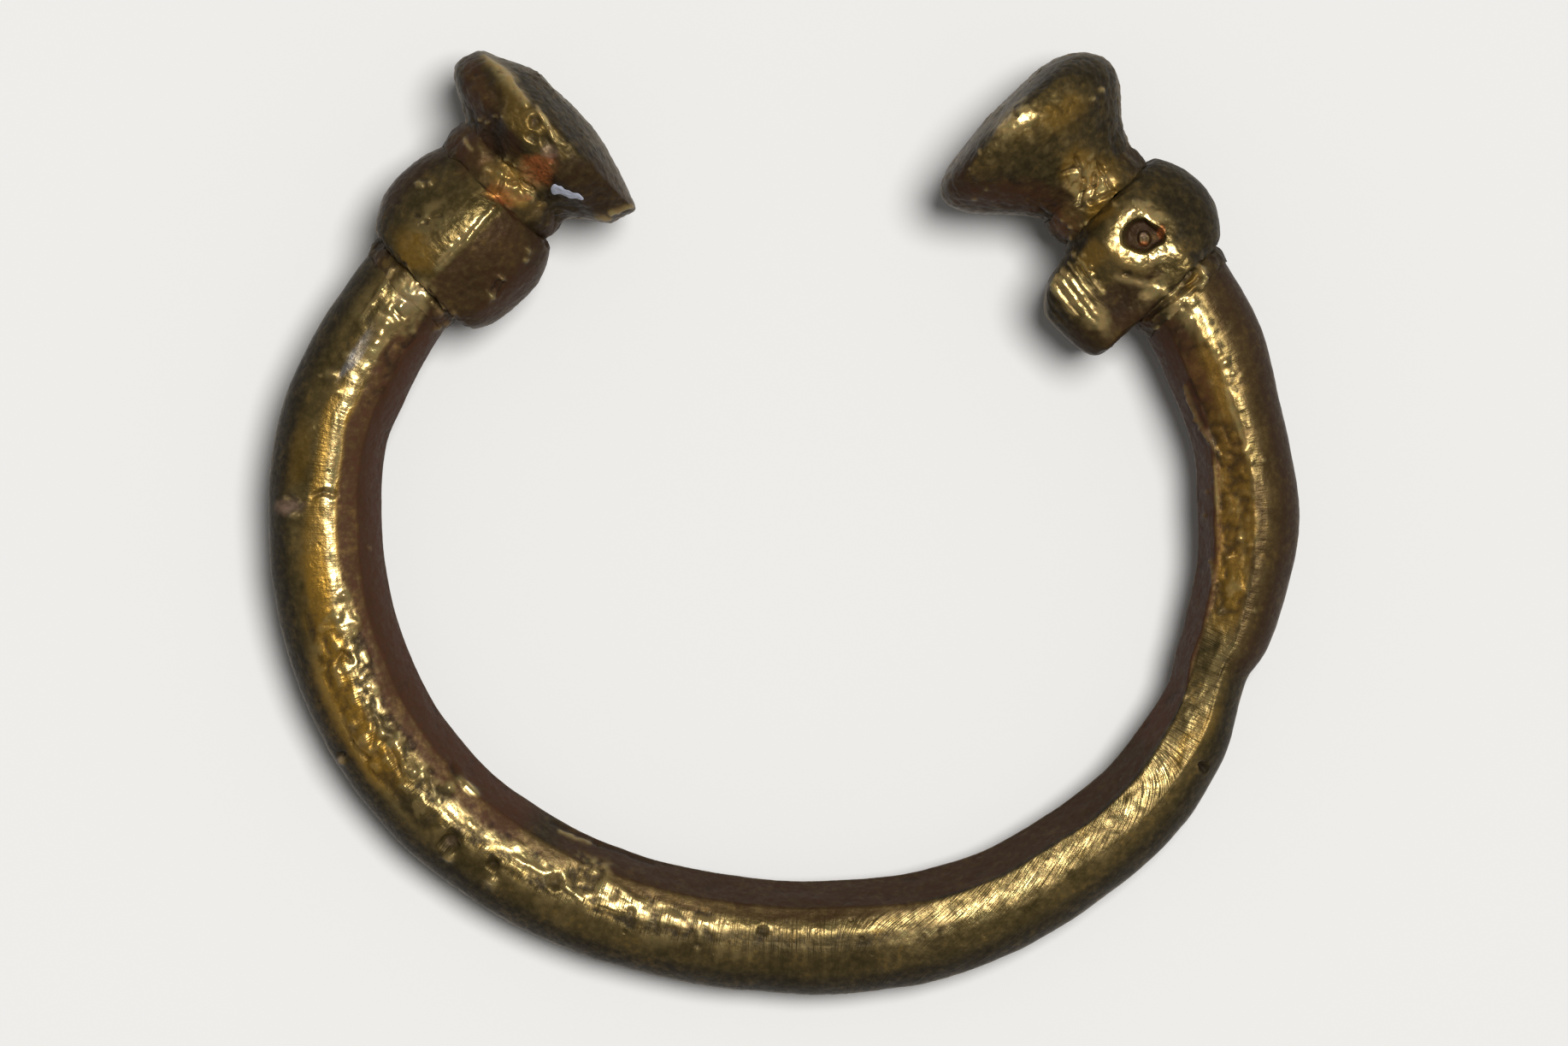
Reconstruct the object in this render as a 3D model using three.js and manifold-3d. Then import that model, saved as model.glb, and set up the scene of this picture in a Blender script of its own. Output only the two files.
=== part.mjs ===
// Open finger ring of copper alloy: a filed bar bent into a hoop, with a knob and a flared terminal
// on each end. Millimetres, +Z up. The ring lies on its side, as it rests on a table, and +Y points
// out through the gap between the two terminals. The origin is on the table, under the middle of
// the ring's length and width.

import * as THREE from "three";
import { mergeVertices } from "three/addons/utils/BufferGeometryUtils.js";
import ManifoldModule from "manifold-3d";

// Driving dimensions of the hoop

// Widest clear width of the finger hole
const finger_bore = 17.5;
// Radial thickness and height of the bar where it is fullest
const hoop_thickness = 2.5;
const hoop_height = 2.4;
// Round tenons that the two ends of the bar are drawn down to
const tenon_radius = 0.6;
const tenon_bite = 0.75;

// Driving dimensions of the joints

// Running gap between pieces that seat on each other
const seam_gap = 0.04;
// Layer of brazing metal in each seam, and how far it stands out of the seam
const braze_thickness = 0.16;
const braze_lip = 0.05;

// Driving dimensions of the left knob

const left_knob_length = 2.66;
const left_knob_out = 1.9;
const left_knob_in = 1.96;
const left_knob_half_height = 1.78;

// Driving dimensions of the right knob and its squared snout

const right_knob_length = 2.48;
const right_knob_out = 1.86;
const right_knob_in = 1.5;
const right_knob_half_height = 1.7;
// The knob and the flare stand this far out from the middle of the bar's end
const right_knob_offset = 0.1;
const snout_length = 2.6;
const snout_towards_flare = 0.84;
const snout_towards_hoop = 1.24;
const snout_root_back = 0.6;
// Distances of the two cut corners of the snout's end from the knob's middle
const snout_flare_corner = 1.8;
const snout_hoop_corner = 2.54;
const snout_root_half_height = 1.5;
const snout_end_half_height = 1.05;
// Ring-and-dot mark drilled into the boss of the right knob
const ring_mark_radius = 0.4;
const ring_dot_radius = 0.16;
const ring_mark_depth = 0.2;
const ring_mark_ahead = 0.09;
const ring_mark_out = 0.24;

// Driving dimensions of the flared terminals

const left_flare_length = 2.18;
const left_flare_half_width = 2.42;
const left_flare_shift = 0.33;
const right_flare_length = 2.82;
const right_flare_half_width = 2.31;
const right_flare_shift = -0.13;
// Half height of both flares, which stand on the same table
const flare_half_height = 2.35;

// Depth of the flats worn where the ring lies on its side
const wear_depth = 0.06;
// How far the cutting bodies reach past what they cut
const overrun = 1;

// Directions, in degrees anticlockwise from +X

const left_end_angle = 149.5;
const right_end_angle = 388;
const left_axis_turn = 44.2;
const right_axis_turn = 133.6;
// Stretch over which the bar turns from the hoop's curve to the knob's axis
const end_turn_span = 14;

// Counts

const hoop_station_count = 66;
const section_point_count = 24;
const round_count = 24;
const knob_rise_count = 17;

// Bar along the hoop, by direction from the middle of the hole: distance of its centre line as a
// share of the middle radius, then its thickness and height as shares of the fullest bar, then the
// flatness of its filed facets as a share, then the two facet edges in degrees round the section
const hoop_station_shares = [
  [149.5, 0.926, 0.93, 0.93, 0.5, 96, 126],
  [156, 0.94, 0.95, 0.96, 0.5, 96, 126],
  [163, 0.96, 0.966, 0.98, 0.6, 96, 126],
  [171, 0.979, 0.97, 1, 0.6, 97, 126],
  [184, 0.985, 0.996, 1, 0.6, 97, 126],
  [201, 0.988, 1, 1, 0.6, 97, 126],
  [218, 0.98, 0.998, 1, 0.7, 98, 127],
  [235, 0.954, 0.986, 1, 0.8, 98, 127],
  [252, 0.931, 0.99, 1, 0.9, 101, 126],
  [262, 0.927, 0.986, 1, 1, 104, 126],
  [270, 0.93, 0.986, 1, 1, 105, 127],
  [277, 0.937, 0.998, 1, 1, 104, 127],
  [288, 0.955, 0.967, 0.99, 1, 100, 126],
  [298, 0.97, 0.918, 0.98, 1, 92, 126],
  [309, 0.98, 0.88, 0.97, 1, 86, 127],
  [320, 0.997, 0.828, 0.96, 1, 80, 128],
  [330, 0.996, 0.762, 0.94, 1, 78, 128],
  [336, 0.987, 0.648, 0.9, 1, 78, 128],
  [340, 0.981, 0.68, 0.9, 1, 78, 128],
  [344, 0.989, 0.762, 0.93, 1, 78, 128],
  [352, 0.995, 0.83, 0.96, 1, 81, 130],
  [360, 0.995, 0.892, 0.98, 1, 84, 133],
  [366, 0.989, 0.84, 0.98, 0.9, 84, 131],
  [372, 0.981, 0.84, 0.98, 0.8, 84, 127],
  [380, 0.975, 0.94, 0.98, 0.7, 90, 126],
  [388, 0.966, 0.945, 0.96, 0.6, 94, 126],
];

// Flared terminals from the neck to the face: distance along the length as a share, then the outer
// edge, the inner edge and the height as shares of the half width and the half height
const left_flare_station_shares = [
  [0, 0.565, -0.655, 0.6],
  [0.1, 0.575, -0.68, 0.61],
  [0.2, 0.69, -0.72, 0.68],
  [0.32, 0.9, -0.83, 0.83],
  [0.39, 0.97, -0.92, 0.92],
  [0.46, 1.0, -0.98, 0.98],
  [0.6, 0.99, -1.02, 1],
  [0.74, 0.93, -1.04, 0.98],
  [0.8, 0.82, -0.92, 0.87],
  [0.88, 0.67, -0.72, 0.7],
  [0.95, 0.55, -0.5, 0.5],
  [1, 0.45, -0.25, 0.3],
];
const right_flare_station_shares = [
  [0, 0.595, -0.47, 0.51],
  [0.12, 0.635, -0.47, 0.53],
  [0.28, 0.74, -0.59, 0.65],
  [0.43, 0.89, -0.78, 0.81],
  [0.57, 0.99, -0.92, 0.94],
  [0.7, 1.0, -1, 1],
  [0.83, 0.92, -0.98, 0.98],
  [0.91, 0.82, -0.83, 0.86],
  [0.96, 0.7, -0.55, 0.66],
  [1, 0.52, -0.2, 0.36],
];

// Facets hammered on the knobs: direction round the axis and lean towards the flare, in degrees,
// and depth as a share of the knob's reach that way
const left_knob_facet_shares = [
  [52, 8, 0.95],
  [112, -6, 0.95],
  [158, 0, 0.96],
  [0, -38, 0.9],
  [180, 32, 0.95],
  [180, -48, 0.93],
];
const right_knob_facet_shares = [
  [128, 10, 0.95],
  [180, -40, 0.94],
  [60, 24, 0.95],
];
// Length of the rounded block that a knob is cut square from, as a share of the knob's length
const left_knob_block_share = 1.75;
const right_knob_block_share = 1.5;
// Height at which the snout's bevel starts, as a share of the height of its end
const snout_bevel_share = 0.55;

const degree = Math.PI / 180;
const hoop_middle_radius = (finger_bore + hoop_thickness) / 2;

// Smooth value of one column of a table at a place along its first column
function along(table, place, column) {
  const last = table.length - 1;
  if (place <= table[0][0]) {
    return table[0][column];
  }
  if (place >= table[last][0]) {
    return table[last][column];
  }
  let k = 0;
  while (table[k + 1][0] < place) {
    k += 1;
  }
  const before = table[Math.max(k - 1, 0)];
  const start = table[k];
  const end = table[k + 1];
  const after = table[Math.min(k + 2, last)];
  const span = end[0] - start[0];
  const t = (place - start[0]) / span;
  const start_slope = (end[column] - before[column]) / (end[0] - before[0]);
  const end_slope = (after[column] - start[column]) / (after[0] - start[0]);
  const rise = end[column] - start[column];
  const bend_in = start_slope * span - rise;
  const bend_out = rise - end_slope * span;
  return start[column] + rise * t + t * (1 - t) * (bend_in * (1 - t) + bend_out * t);
}

function smooth_step(share) {
  const t = Math.min(Math.max(share, 0), 1);
  return t * t * (3 - 2 * t);
}

function flat_direction(degrees) {
  return new THREE.Vector3(Math.cos(degrees * degree), Math.sin(degrees * degree), 0);
}

// Closed body through rings of points, each ring the same count, with a flat cap on each end
function loft(rings) {
  const count = rings[0].length;
  const positions = [];
  const indices = [];
  for (const ring of rings) {
    for (const point of ring) {
      positions.push(point.x, point.y, point.z);
    }
  }
  for (let r = 0; r < rings.length - 1; r += 1) {
    for (let k = 0; k < count; k += 1) {
      const a = r * count + k;
      const b = r * count + ((k + 1) % count);
      indices.push(a, b, a + count);
      indices.push(b, b + count, a + count);
    }
  }
  const caps = [
    { ring: rings[0], start: 0, first: true },
    { ring: rings[rings.length - 1], start: (rings.length - 1) * count, first: false },
  ];
  for (const cap of caps) {
    const middle = new THREE.Vector3();
    for (const point of cap.ring) {
      middle.addScaledVector(point, 1 / count);
    }
    const centre = positions.length / 3;
    positions.push(middle.x, middle.y, middle.z);
    for (let k = 0; k < count; k += 1) {
      const a = cap.start + k;
      const b = cap.start + ((k + 1) % count);
      if (cap.first) {
        indices.push(centre, b, a);
      } else {
        indices.push(centre, a, b);
      }
    }
  }
  const geometry = new THREE.BufferGeometry();
  geometry.setAttribute("position", new THREE.Float32BufferAttribute(positions, 3));
  geometry.setIndex(indices);
  return face_outwards(geometry);
}

// Same geometry with its triangles turned so that the body's volume is positive
function face_outwards(geometry) {
  const place = geometry.getAttribute("position");
  const index = geometry.getIndex();
  const a = new THREE.Vector3();
  const b = new THREE.Vector3();
  const c = new THREE.Vector3();
  let volume = 0;
  for (let i = 0; i < index.count; i += 3) {
    a.fromBufferAttribute(place, index.getX(i));
    b.fromBufferAttribute(place, index.getX(i + 1));
    c.fromBufferAttribute(place, index.getX(i + 2));
    volume += a.dot(b.cross(c));
  }
  if (volume < 0) {
    for (let i = 0; i < index.count; i += 3) {
      const kept = index.getX(i + 1);
      index.setX(i + 1, index.getX(i + 2));
      index.setX(i + 2, kept);
    }
  }
  return geometry;
}

// Joining and cutting of closed bodies

const wasm = await ManifoldModule();
wasm.setup();

function to_solid(geometry) {
  const bare = geometry.clone();
  bare.deleteAttribute("normal");
  bare.deleteAttribute("uv");
  const merged = mergeVertices(bare);
  const mesh = new wasm.Mesh({
    numProp: 3,
    vertProperties: new Float32Array(merged.getAttribute("position").array),
    triVerts: new Uint32Array(merged.getIndex().array),
  });
  return new wasm.Manifold(mesh);
}

function to_geometry(solid) {
  const mesh = solid.getMesh();
  const geometry = new THREE.BufferGeometry();
  geometry.setAttribute("position", new THREE.Float32BufferAttribute(mesh.vertProperties, 3));
  geometry.setIndex(Array.from(mesh.triVerts));
  geometry.computeVertexNormals();
  return geometry;
}

// Geometry with the added bodies joined on and then the cutting bodies taken off
function shape(geometry, added, taken) {
  let solid = to_solid(geometry);
  for (const piece of added) {
    solid = solid.add(to_solid(piece));
  }
  for (const piece of taken) {
    solid = solid.subtract(to_solid(piece));
  }
  return to_geometry(solid);
}

// Round rod along X between two places
function rod(radius, start, end) {
  const geometry = new THREE.CylinderGeometry(radius, radius, end - start, round_count);
  geometry.rotateZ(-Math.PI / 2);
  geometry.translate((start + end) / 2, 0, 0);
  return geometry;
}

// The bar's centre line, its direction and its section

// What the columns of the hoop's table are, in their order
const hoop_columns = [
  "angle",
  "middle",
  "thickness",
  "height",
  "flatness",
  "first_edge",
  "second_edge",
];

function hoop_value(angle, name) {
  return along(hoop_station_shares, angle, hoop_columns.indexOf(name));
}

function hoop_centre(angle) {
  const distance = hoop_middle_radius * hoop_value(angle, "middle");
  return flat_direction(angle).multiplyScalar(distance);
}

function hoop_direction(angle) {
  const half_step_turn = 0.5;
  const ahead = hoop_centre(Math.min(angle + half_step_turn, right_end_angle));
  const behind = hoop_centre(Math.max(angle - half_step_turn, left_end_angle));
  const free = ahead.sub(behind).normalize();
  const left_hold = 1 - smooth_step((angle - left_end_angle) / end_turn_span);
  const right_hold = 1 - smooth_step((right_end_angle - angle) / end_turn_span);
  free.lerp(flat_direction(left_axis_turn).negate(), left_hold);
  free.lerp(flat_direction(right_axis_turn), right_hold);
  return free.normalize();
}

// Distance of the section's edge as a share of the bar's half size: round outside, and filed flat
// between the two facet edges and from there to the inner wall
function section_reach(turn, station) {
  const flatness = hoop_value(station, "flatness");
  const first_edge = hoop_value(station, "first_edge");
  const second_edge = hoop_value(station, "second_edge");
  const across = Math.abs(turn);
  let low = second_edge;
  let high = 180;
  if (across < first_edge) {
    return 1;
  }
  if (across < second_edge) {
    low = first_edge;
    high = second_edge;
  }
  const half_span = ((high - low) / 2) * degree;
  const from_middle = (across - (high + low) / 2) * degree;
  return 1 - flatness * (1 - Math.cos(half_span) / Math.cos(from_middle));
}

function hoop_half_thickness(angle) {
  return (hoop_thickness / 2) * hoop_value(angle, "thickness");
}

function hoop_half_height(angle) {
  return (hoop_height / 2) * hoop_value(angle, "height");
}

function hoop_ring(angle) {
  const centre = hoop_centre(angle);
  const direction = hoop_direction(angle);
  const outwards = new THREE.Vector3(direction.y, -direction.x, 0);
  const half_thickness = hoop_half_thickness(angle);
  const half_height = hoop_half_height(angle);
  const ring = [];
  for (let k = 0; k < section_point_count; k += 1) {
    const turn = 180 - (k * 360) / section_point_count;
    const reach = section_reach(turn, angle);
    const point = centre.clone();
    point.addScaledVector(outwards, half_thickness * reach * Math.cos(turn * degree));
    point.z += half_height * reach * Math.sin(turn * degree);
    ring.push(point);
  }
  return ring;
}

// How the pieces follow each other along each end, from the seam on the bar

function end_layout(knob_length) {
  const knob_start = braze_thickness;
  const knob_end = knob_start + knob_length;
  const neck_start = knob_end + braze_thickness;
  const tenon_end = neck_start + tenon_bite;
  return { knob_start, knob_end, neck_start, tenon_end };
}

const left_layout = end_layout(left_knob_length);
const right_layout = end_layout(right_knob_length);

// Rod along an end's axis, in the frame of the hoop
function end_rod(angle, turn, radius, start, end) {
  const geometry = rod(radius, start, end);
  geometry.rotateZ(turn * degree);
  const seam = hoop_centre(angle);
  geometry.translate(seam.x, seam.y, seam.z);
  return geometry;
}

function make_hoop() {
  const rings = [];
  for (let k = 0; k < hoop_station_count; k += 1) {
    const share = k / (hoop_station_count - 1);
    rings.push(hoop_ring(left_end_angle + (right_end_angle - left_end_angle) * share));
  }
  const root = -hoop_thickness / 2;
  const tenons = [
    end_rod(left_end_angle, left_axis_turn, tenon_radius, root, left_layout.tenon_end),
    end_rod(right_end_angle, right_axis_turn, tenon_radius, root, right_layout.tenon_end),
  ];
  return shape(loft(rings), tenons, []);
}

// Body whose surface lies at a given reach in each direction from its middle, cut square at both
// ends of its X length
function reach_body(reach, half_length) {
  const rings = [];
  for (let r = 1; r < knob_rise_count; r += 1) {
    const rise = (r / knob_rise_count) * Math.PI;
    const ring = [];
    for (let k = 0; k < round_count; k += 1) {
      const around = (k / round_count) * 2 * Math.PI;
      const direction = new THREE.Vector3(
        -Math.cos(rise),
        Math.sin(rise) * Math.cos(around),
        Math.sin(rise) * Math.sin(around),
      );
      const point = direction.clone().multiplyScalar(reach(direction));
      point.x = Math.min(Math.max(point.x, -half_length), half_length);
      ring.push(point);
    }
    rings.push(ring);
  }
  return loft(rings);
}

// Higher powers give crisper edges between facets
const edge_power = 24;

// Reach of a rounded block with flat facets. Sizes are its half length and its reach along +Y,
// -Y and both ways along Z.
function faceted_reach(direction, sizes, facet_shares) {
  const sideways = direction.y > 0 ? sizes.plus_y : sizes.minus_y;
  const round = Math.hypot(
    direction.x / sizes.half_length,
    direction.y / sideways,
    direction.z / sizes.half_height,
  );
  let sum = round ** edge_power;
  for (const [around, lean, depth_share] of facet_shares) {
    const normal = new THREE.Vector3(
      Math.sin(lean * degree),
      Math.cos(lean * degree) * Math.cos(around * degree),
      Math.cos(lean * degree) * Math.sin(around * degree),
    );
    const side = normal.y > 0 ? sizes.plus_y : sizes.minus_y;
    const support = Math.hypot(
      normal.x * sizes.half_length,
      normal.y * side,
      normal.z * sizes.half_height,
    );
    const ahead = normal.x * direction.x + normal.y * direction.y;
    const facing = ahead + Math.abs(normal.z * direction.z);
    sum += (Math.max(facing, 0) / (support * depth_share)) ** edge_power;
  }
  return 1 / sum ** (1 / edge_power);
}

function left_knob_reach(direction) {
  const sizes = {
    half_length: (left_knob_length / 2) * left_knob_block_share,
    plus_y: left_knob_out,
    minus_y: left_knob_in,
    half_height: left_knob_half_height,
  };
  return faceted_reach(direction, sizes, left_knob_facet_shares);
}

function make_left_knob() {
  const body = reach_body(left_knob_reach, left_knob_length / 2 - seam_gap);
  const bore = rod(tenon_radius + seam_gap, -left_knob_length, left_knob_length);
  return shape(body, [], [bore]);
}

// On the right end +Y points into the finger hole, so the snout reaches along +Y
function right_body_reach(direction) {
  const sizes = {
    half_length: (right_knob_length / 2) * right_knob_block_share,
    plus_y: right_knob_in,
    minus_y: right_knob_out,
    half_height: right_knob_half_height,
  };
  return faceted_reach(direction, sizes, right_knob_facet_shares);
}

// Squared snout as flat sides round the knob's middle: its two sides, its end, its sloping front
// and back, and the bevels between them and the end
const snout_slope = Math.atan2(snout_root_half_height - snout_end_half_height, snout_length);
const snout_bevel_turn = 42;
const snout_flare_corner_turn = 35;
const snout_hoop_corner_turn = 132;

function snout_reach_towards(direction) {
  const height = Math.abs(direction.z);
  const bevel_y = Math.cos(snout_bevel_turn * degree);
  const bevel_z = Math.sin(snout_bevel_turn * degree);
  const bevel_height = snout_end_half_height * snout_bevel_share;
  const flare_corner = flat_direction(snout_flare_corner_turn);
  const hoop_corner = flat_direction(snout_hoop_corner_turn);
  const slope_y = Math.sin(snout_slope);
  const slope_z = Math.cos(snout_slope);
  const sides = [
    direction.y / snout_length,
    direction.x / snout_towards_flare,
    -direction.x / snout_towards_hoop,
    (height * slope_z + direction.y * slope_y) / (snout_root_half_height * slope_z),
    (height * bevel_z + direction.y * bevel_y) / (snout_length * bevel_y + bevel_height * bevel_z),
    direction.dot(flare_corner) / snout_flare_corner,
    direction.dot(hoop_corner) / snout_hoop_corner,
    -direction.y / snout_root_back,
  ];
  let sum = 0;
  for (const side of sides) {
    sum += Math.max(side, 0) ** edge_power;
  }
  return 1 / sum ** (1 / edge_power);
}

function right_knob_reach(direction) {
  const body = right_body_reach(direction);
  const snout = snout_reach_towards(direction);
  return (body ** edge_power + snout ** edge_power) ** (1 / edge_power);
}

// Ring-shaped cutter that leaves a dot standing in the middle of a drilled ring
function ring_mark_cutter() {
  const floor = right_knob_half_height - ring_mark_depth;
  const top = right_knob_half_height + overrun;
  const profile = [
    new THREE.Vector2(ring_dot_radius, floor),
    new THREE.Vector2(ring_mark_radius, floor),
    new THREE.Vector2(ring_mark_radius, top),
    new THREE.Vector2(ring_dot_radius, top),
    new THREE.Vector2(ring_dot_radius, floor),
  ];
  const geometry = new THREE.LatheGeometry(profile, round_count);
  geometry.rotateX(Math.PI / 2);
  geometry.translate(ring_mark_ahead, -ring_mark_out, 0);
  return face_outwards(geometry);
}

function make_right_knob() {
  const body = reach_body(right_knob_reach, right_knob_length / 2 - seam_gap);
  const bore = rod(tenon_radius + seam_gap, -right_knob_length, right_knob_length);
  bore.translate(0, right_knob_offset, 0);
  return shape(body, [], [bore, ring_mark_cutter()]);
}

// Flared terminal from its neck at X zero to its domed face. Side is +1 where +Y points out of
// the ring and -1 where it points in.
function make_flare(table, length, half_width, shift, side) {
  const rings = [];
  for (const [length_share, outer_share, inner_share, height_share] of table) {
    const outer = half_width * outer_share + shift;
    const inner = half_width * inner_share + shift;
    const middle = (side * (outer + inner)) / 2;
    const reach = (outer - inner) / 2;
    const ring = [];
    for (let k = 0; k < round_count; k += 1) {
      const turn = (k / round_count) * 2 * Math.PI;
      ring.push(new THREE.Vector3(
        seam_gap + (length - seam_gap) * length_share,
        middle + reach * Math.cos(turn),
        flare_half_height * height_share * Math.sin(turn),
      ));
    }
    rings.push(ring);
  }
  const socket = rod(tenon_radius + seam_gap, -overrun, tenon_bite + seam_gap);
  return shape(loft(rings), [], [socket]);
}

// Layer of brazing metal round a tenon, with a lumpy rim whose middle lies off the tenon's axis
function make_braze(rim_radius, rim_shift, lump_count) {
  const inner = tenon_radius + seam_gap;
  const outer = rim_radius + braze_lip;
  const start = seam_gap;
  const end = braze_thickness - seam_gap;
  const profile = [
    new THREE.Vector2(inner, start),
    new THREE.Vector2(outer - braze_lip, start),
    new THREE.Vector2(outer, (start + end) / 2),
    new THREE.Vector2(outer - braze_lip, end),
    new THREE.Vector2(inner, end),
    new THREE.Vector2(inner, start),
  ];
  const geometry = new THREE.LatheGeometry(profile, round_count);
  geometry.rotateZ(-Math.PI / 2);
  const place = geometry.getAttribute("position");
  for (let i = 0; i < place.count; i += 1) {
    const around = Math.atan2(place.getZ(i), place.getY(i));
    const distance = Math.hypot(place.getY(i), place.getZ(i));
    const rim_share = (distance - inner) / (outer - inner);
    const lump = 1 + (braze_lip / outer) * rim_share * Math.sin(lump_count * around);
    place.setY(i, place.getY(i) * lump + rim_share * rim_shift);
    place.setZ(i, place.getZ(i) * lump);
  }
  return face_outwards(mergeVertices(strip(geometry)));
}

function strip(geometry) {
  geometry.deleteAttribute("normal");
  geometry.deleteAttribute("uv");
  return geometry;
}

// Materials

const patina = new THREE.MeshStandardMaterial({ color: 0x8c7440, roughness: 0.42, metalness: 0.9 });
const bright = new THREE.MeshStandardMaterial({ color: 0x9c8450, roughness: 0.38, metalness: 0.9 });
const cuprite = new THREE.MeshStandardMaterial({ color: 0x8a4a26, roughness: 0.5, metalness: 0.7 });

function piece(name, geometry, material, x, y = 0) {
  geometry.computeVertexNormals();
  const mesh = new THREE.Mesh(geometry, material);
  mesh.name = name;
  mesh.position.x = x;
  mesh.position.y = y;
  return mesh;
}

// Group at one seam of the bar, with +X along the axis of the knob and the flare
function end_group(angle, turn) {
  const group = new THREE.Group();
  group.position.copy(hoop_centre(angle));
  group.rotation.z = turn * degree;
  return group;
}

const left_seam_radius = hoop_half_height(left_end_angle) - braze_lip;
const right_seam_radius = hoop_half_height(right_end_angle) - braze_lip;
const left_neck = neck_of(left_flare_station_shares, left_flare_half_width, left_flare_shift);
const right_neck = neck_of(
  right_flare_station_shares,
  right_flare_half_width,
  right_flare_shift + right_knob_offset,
);

// Radius of a flare's neck, and how far its middle lies out from the tenon's axis
function neck_of(table, half_width, shift) {
  const [, outer_share, inner_share, height_share] = table[0];
  const radius = Math.min(
    (half_width * (outer_share - inner_share)) / 2,
    flare_half_height * height_share,
  );
  return { radius: radius - braze_lip, shift: shift + (half_width * (outer_share + inner_share)) / 2 };
}

const left_end = end_group(left_end_angle, left_axis_turn);
left_end.add(
  piece("left_hoop_braze", make_braze(left_seam_radius, 0, 5), cuprite, 0),
  piece("left_knob", make_left_knob(), patina, left_layout.knob_start + left_knob_length / 2),
  piece(
    "left_neck_braze",
    make_braze(left_neck.radius, left_neck.shift, 4),
    cuprite,
    left_layout.knob_end,
  ),
  piece(
    "left_flared_terminal",
    make_flare(left_flare_station_shares, left_flare_length, left_flare_half_width, left_flare_shift, 1),
    bright,
    left_layout.neck_start,
  ),
);

const right_end = end_group(right_end_angle, right_axis_turn);
right_end.add(
  piece("right_hoop_braze", make_braze(right_seam_radius, 0, 5), cuprite, 0),
  piece(
    "right_knob",
    make_right_knob(),
    patina,
    right_layout.knob_start + right_knob_length / 2,
    -right_knob_offset,
  ),
  piece(
    "right_neck_braze",
    make_braze(right_neck.radius, -right_neck.shift, 3),
    cuprite,
    right_layout.knob_end,
  ),
  piece(
    "right_flared_terminal",
    make_flare(
      right_flare_station_shares,
      right_flare_length,
      right_flare_half_width,
      right_flare_shift + right_knob_offset,
      -1,
    ),
    bright,
    right_layout.neck_start,
  ),
);

// The ring in its own plane, then leant and lifted so that the two flares and the back of the
// hoop meet the table

const ring = new THREE.Group();
ring.add(piece("hoop", make_hoop(), patina, 0), left_end, right_end);

function rim_height_along_y(group, table, layout, length) {
  const widest = table.reduce((best, row) => (row[3] > best[3] ? row : best));
  const local = new THREE.Vector3(layout.neck_start + length * widest[0], 0, 0);
  group.updateMatrix();
  return local.applyMatrix4(group.matrix).y;
}

const left_rim_y = rim_height_along_y(
  left_end,
  left_flare_station_shares,
  left_layout,
  left_flare_length,
);
const right_rim_y = rim_height_along_y(
  right_end,
  right_flare_station_shares,
  right_layout,
  right_flare_length,
);
const rim_y = (left_rim_y + right_rim_y) / 2;
const back_angle = 270;
const back_y = hoop_centre(back_angle).y;
const back_half_height = hoop_half_height(back_angle);
const rest_lean = Math.atan2(flare_half_height - back_half_height, rim_y - back_y);
ring.rotation.x = rest_lean;
ring.position.z = flare_half_height * Math.cos(rest_lean) - rim_y * Math.sin(rest_lean) - wear_depth;

const object = new THREE.Group();
object.add(ring);
object.updateMatrixWorld(true);

// Flats worn by the table: everything under Z zero is cut off
const table_width = 2 * (finger_bore + hoop_thickness + left_flare_length + right_flare_length);
ring.traverse((node) => {
  if (!node.isMesh) {
    return;
  }
  const box = new THREE.Box3().setFromObject(node, true);
  if (box.min.z >= 0) {
    return;
  }
  const slab = new THREE.BoxGeometry(table_width, table_width, overrun);
  slab.translate(0, 0, -overrun / 2);
  slab.applyMatrix4(node.matrixWorld.clone().invert());
  node.geometry = shape(node.geometry, [], [slab]);
});

// The origin goes under the middle of the whole ring
const whole = new THREE.Box3().setFromObject(object, true);
const middle = whole.getCenter(new THREE.Vector3());
ring.position.x -= middle.x;
ring.position.y -= middle.y;
object.updateMatrixWorld(true);

export default object;
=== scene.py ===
"""Open finger ring of worn copper alloy, with a knob and a flared terminal on each end.

The ring lies on its side on a pale floor. A filed bar is bent into the hoop, and on each of its ends
sit a knob and a flared terminal, brazed on. Shapes are worked out in millimetres in the hoop's own
plane, then leant and lifted to where the ring rests. Lengths that a user may change are in metres.
"""

import math

import bpy
import numpy as np
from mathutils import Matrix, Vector


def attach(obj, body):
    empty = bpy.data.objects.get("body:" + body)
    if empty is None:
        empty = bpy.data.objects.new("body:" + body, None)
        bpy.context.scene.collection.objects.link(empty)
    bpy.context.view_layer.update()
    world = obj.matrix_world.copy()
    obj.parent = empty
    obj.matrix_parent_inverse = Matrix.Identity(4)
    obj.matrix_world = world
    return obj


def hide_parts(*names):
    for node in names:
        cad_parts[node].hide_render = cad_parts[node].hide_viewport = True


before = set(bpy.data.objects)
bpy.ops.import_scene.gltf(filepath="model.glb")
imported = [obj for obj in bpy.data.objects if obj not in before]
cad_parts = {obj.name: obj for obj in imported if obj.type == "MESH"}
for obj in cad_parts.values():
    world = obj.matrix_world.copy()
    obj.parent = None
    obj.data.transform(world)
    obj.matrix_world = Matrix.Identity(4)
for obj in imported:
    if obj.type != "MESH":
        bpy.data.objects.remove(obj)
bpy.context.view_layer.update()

bl_info = {
    "name": "Open Finger Ring",
    "version": (1, 0, 0),
    "blender": (4, 5, 0),
    "location": "View3D > Sidebar > Ring",
    "description": "Makes an open finger ring of worn copper alloy with flared terminals",
    "category": "Add Mesh",
}

MM = 0.001
BODY = "root"

# Middle of the finger hole on the photograph, the photograph's scale and its size, all in pixels
HOLE_ACROSS = 917
HOLE_DOWN = 590
PHOTO_PIXELS_PER_MM = 54.6
PHOTO_WIDTH = 1834
PHOTO_HEIGHT = 1223

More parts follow.
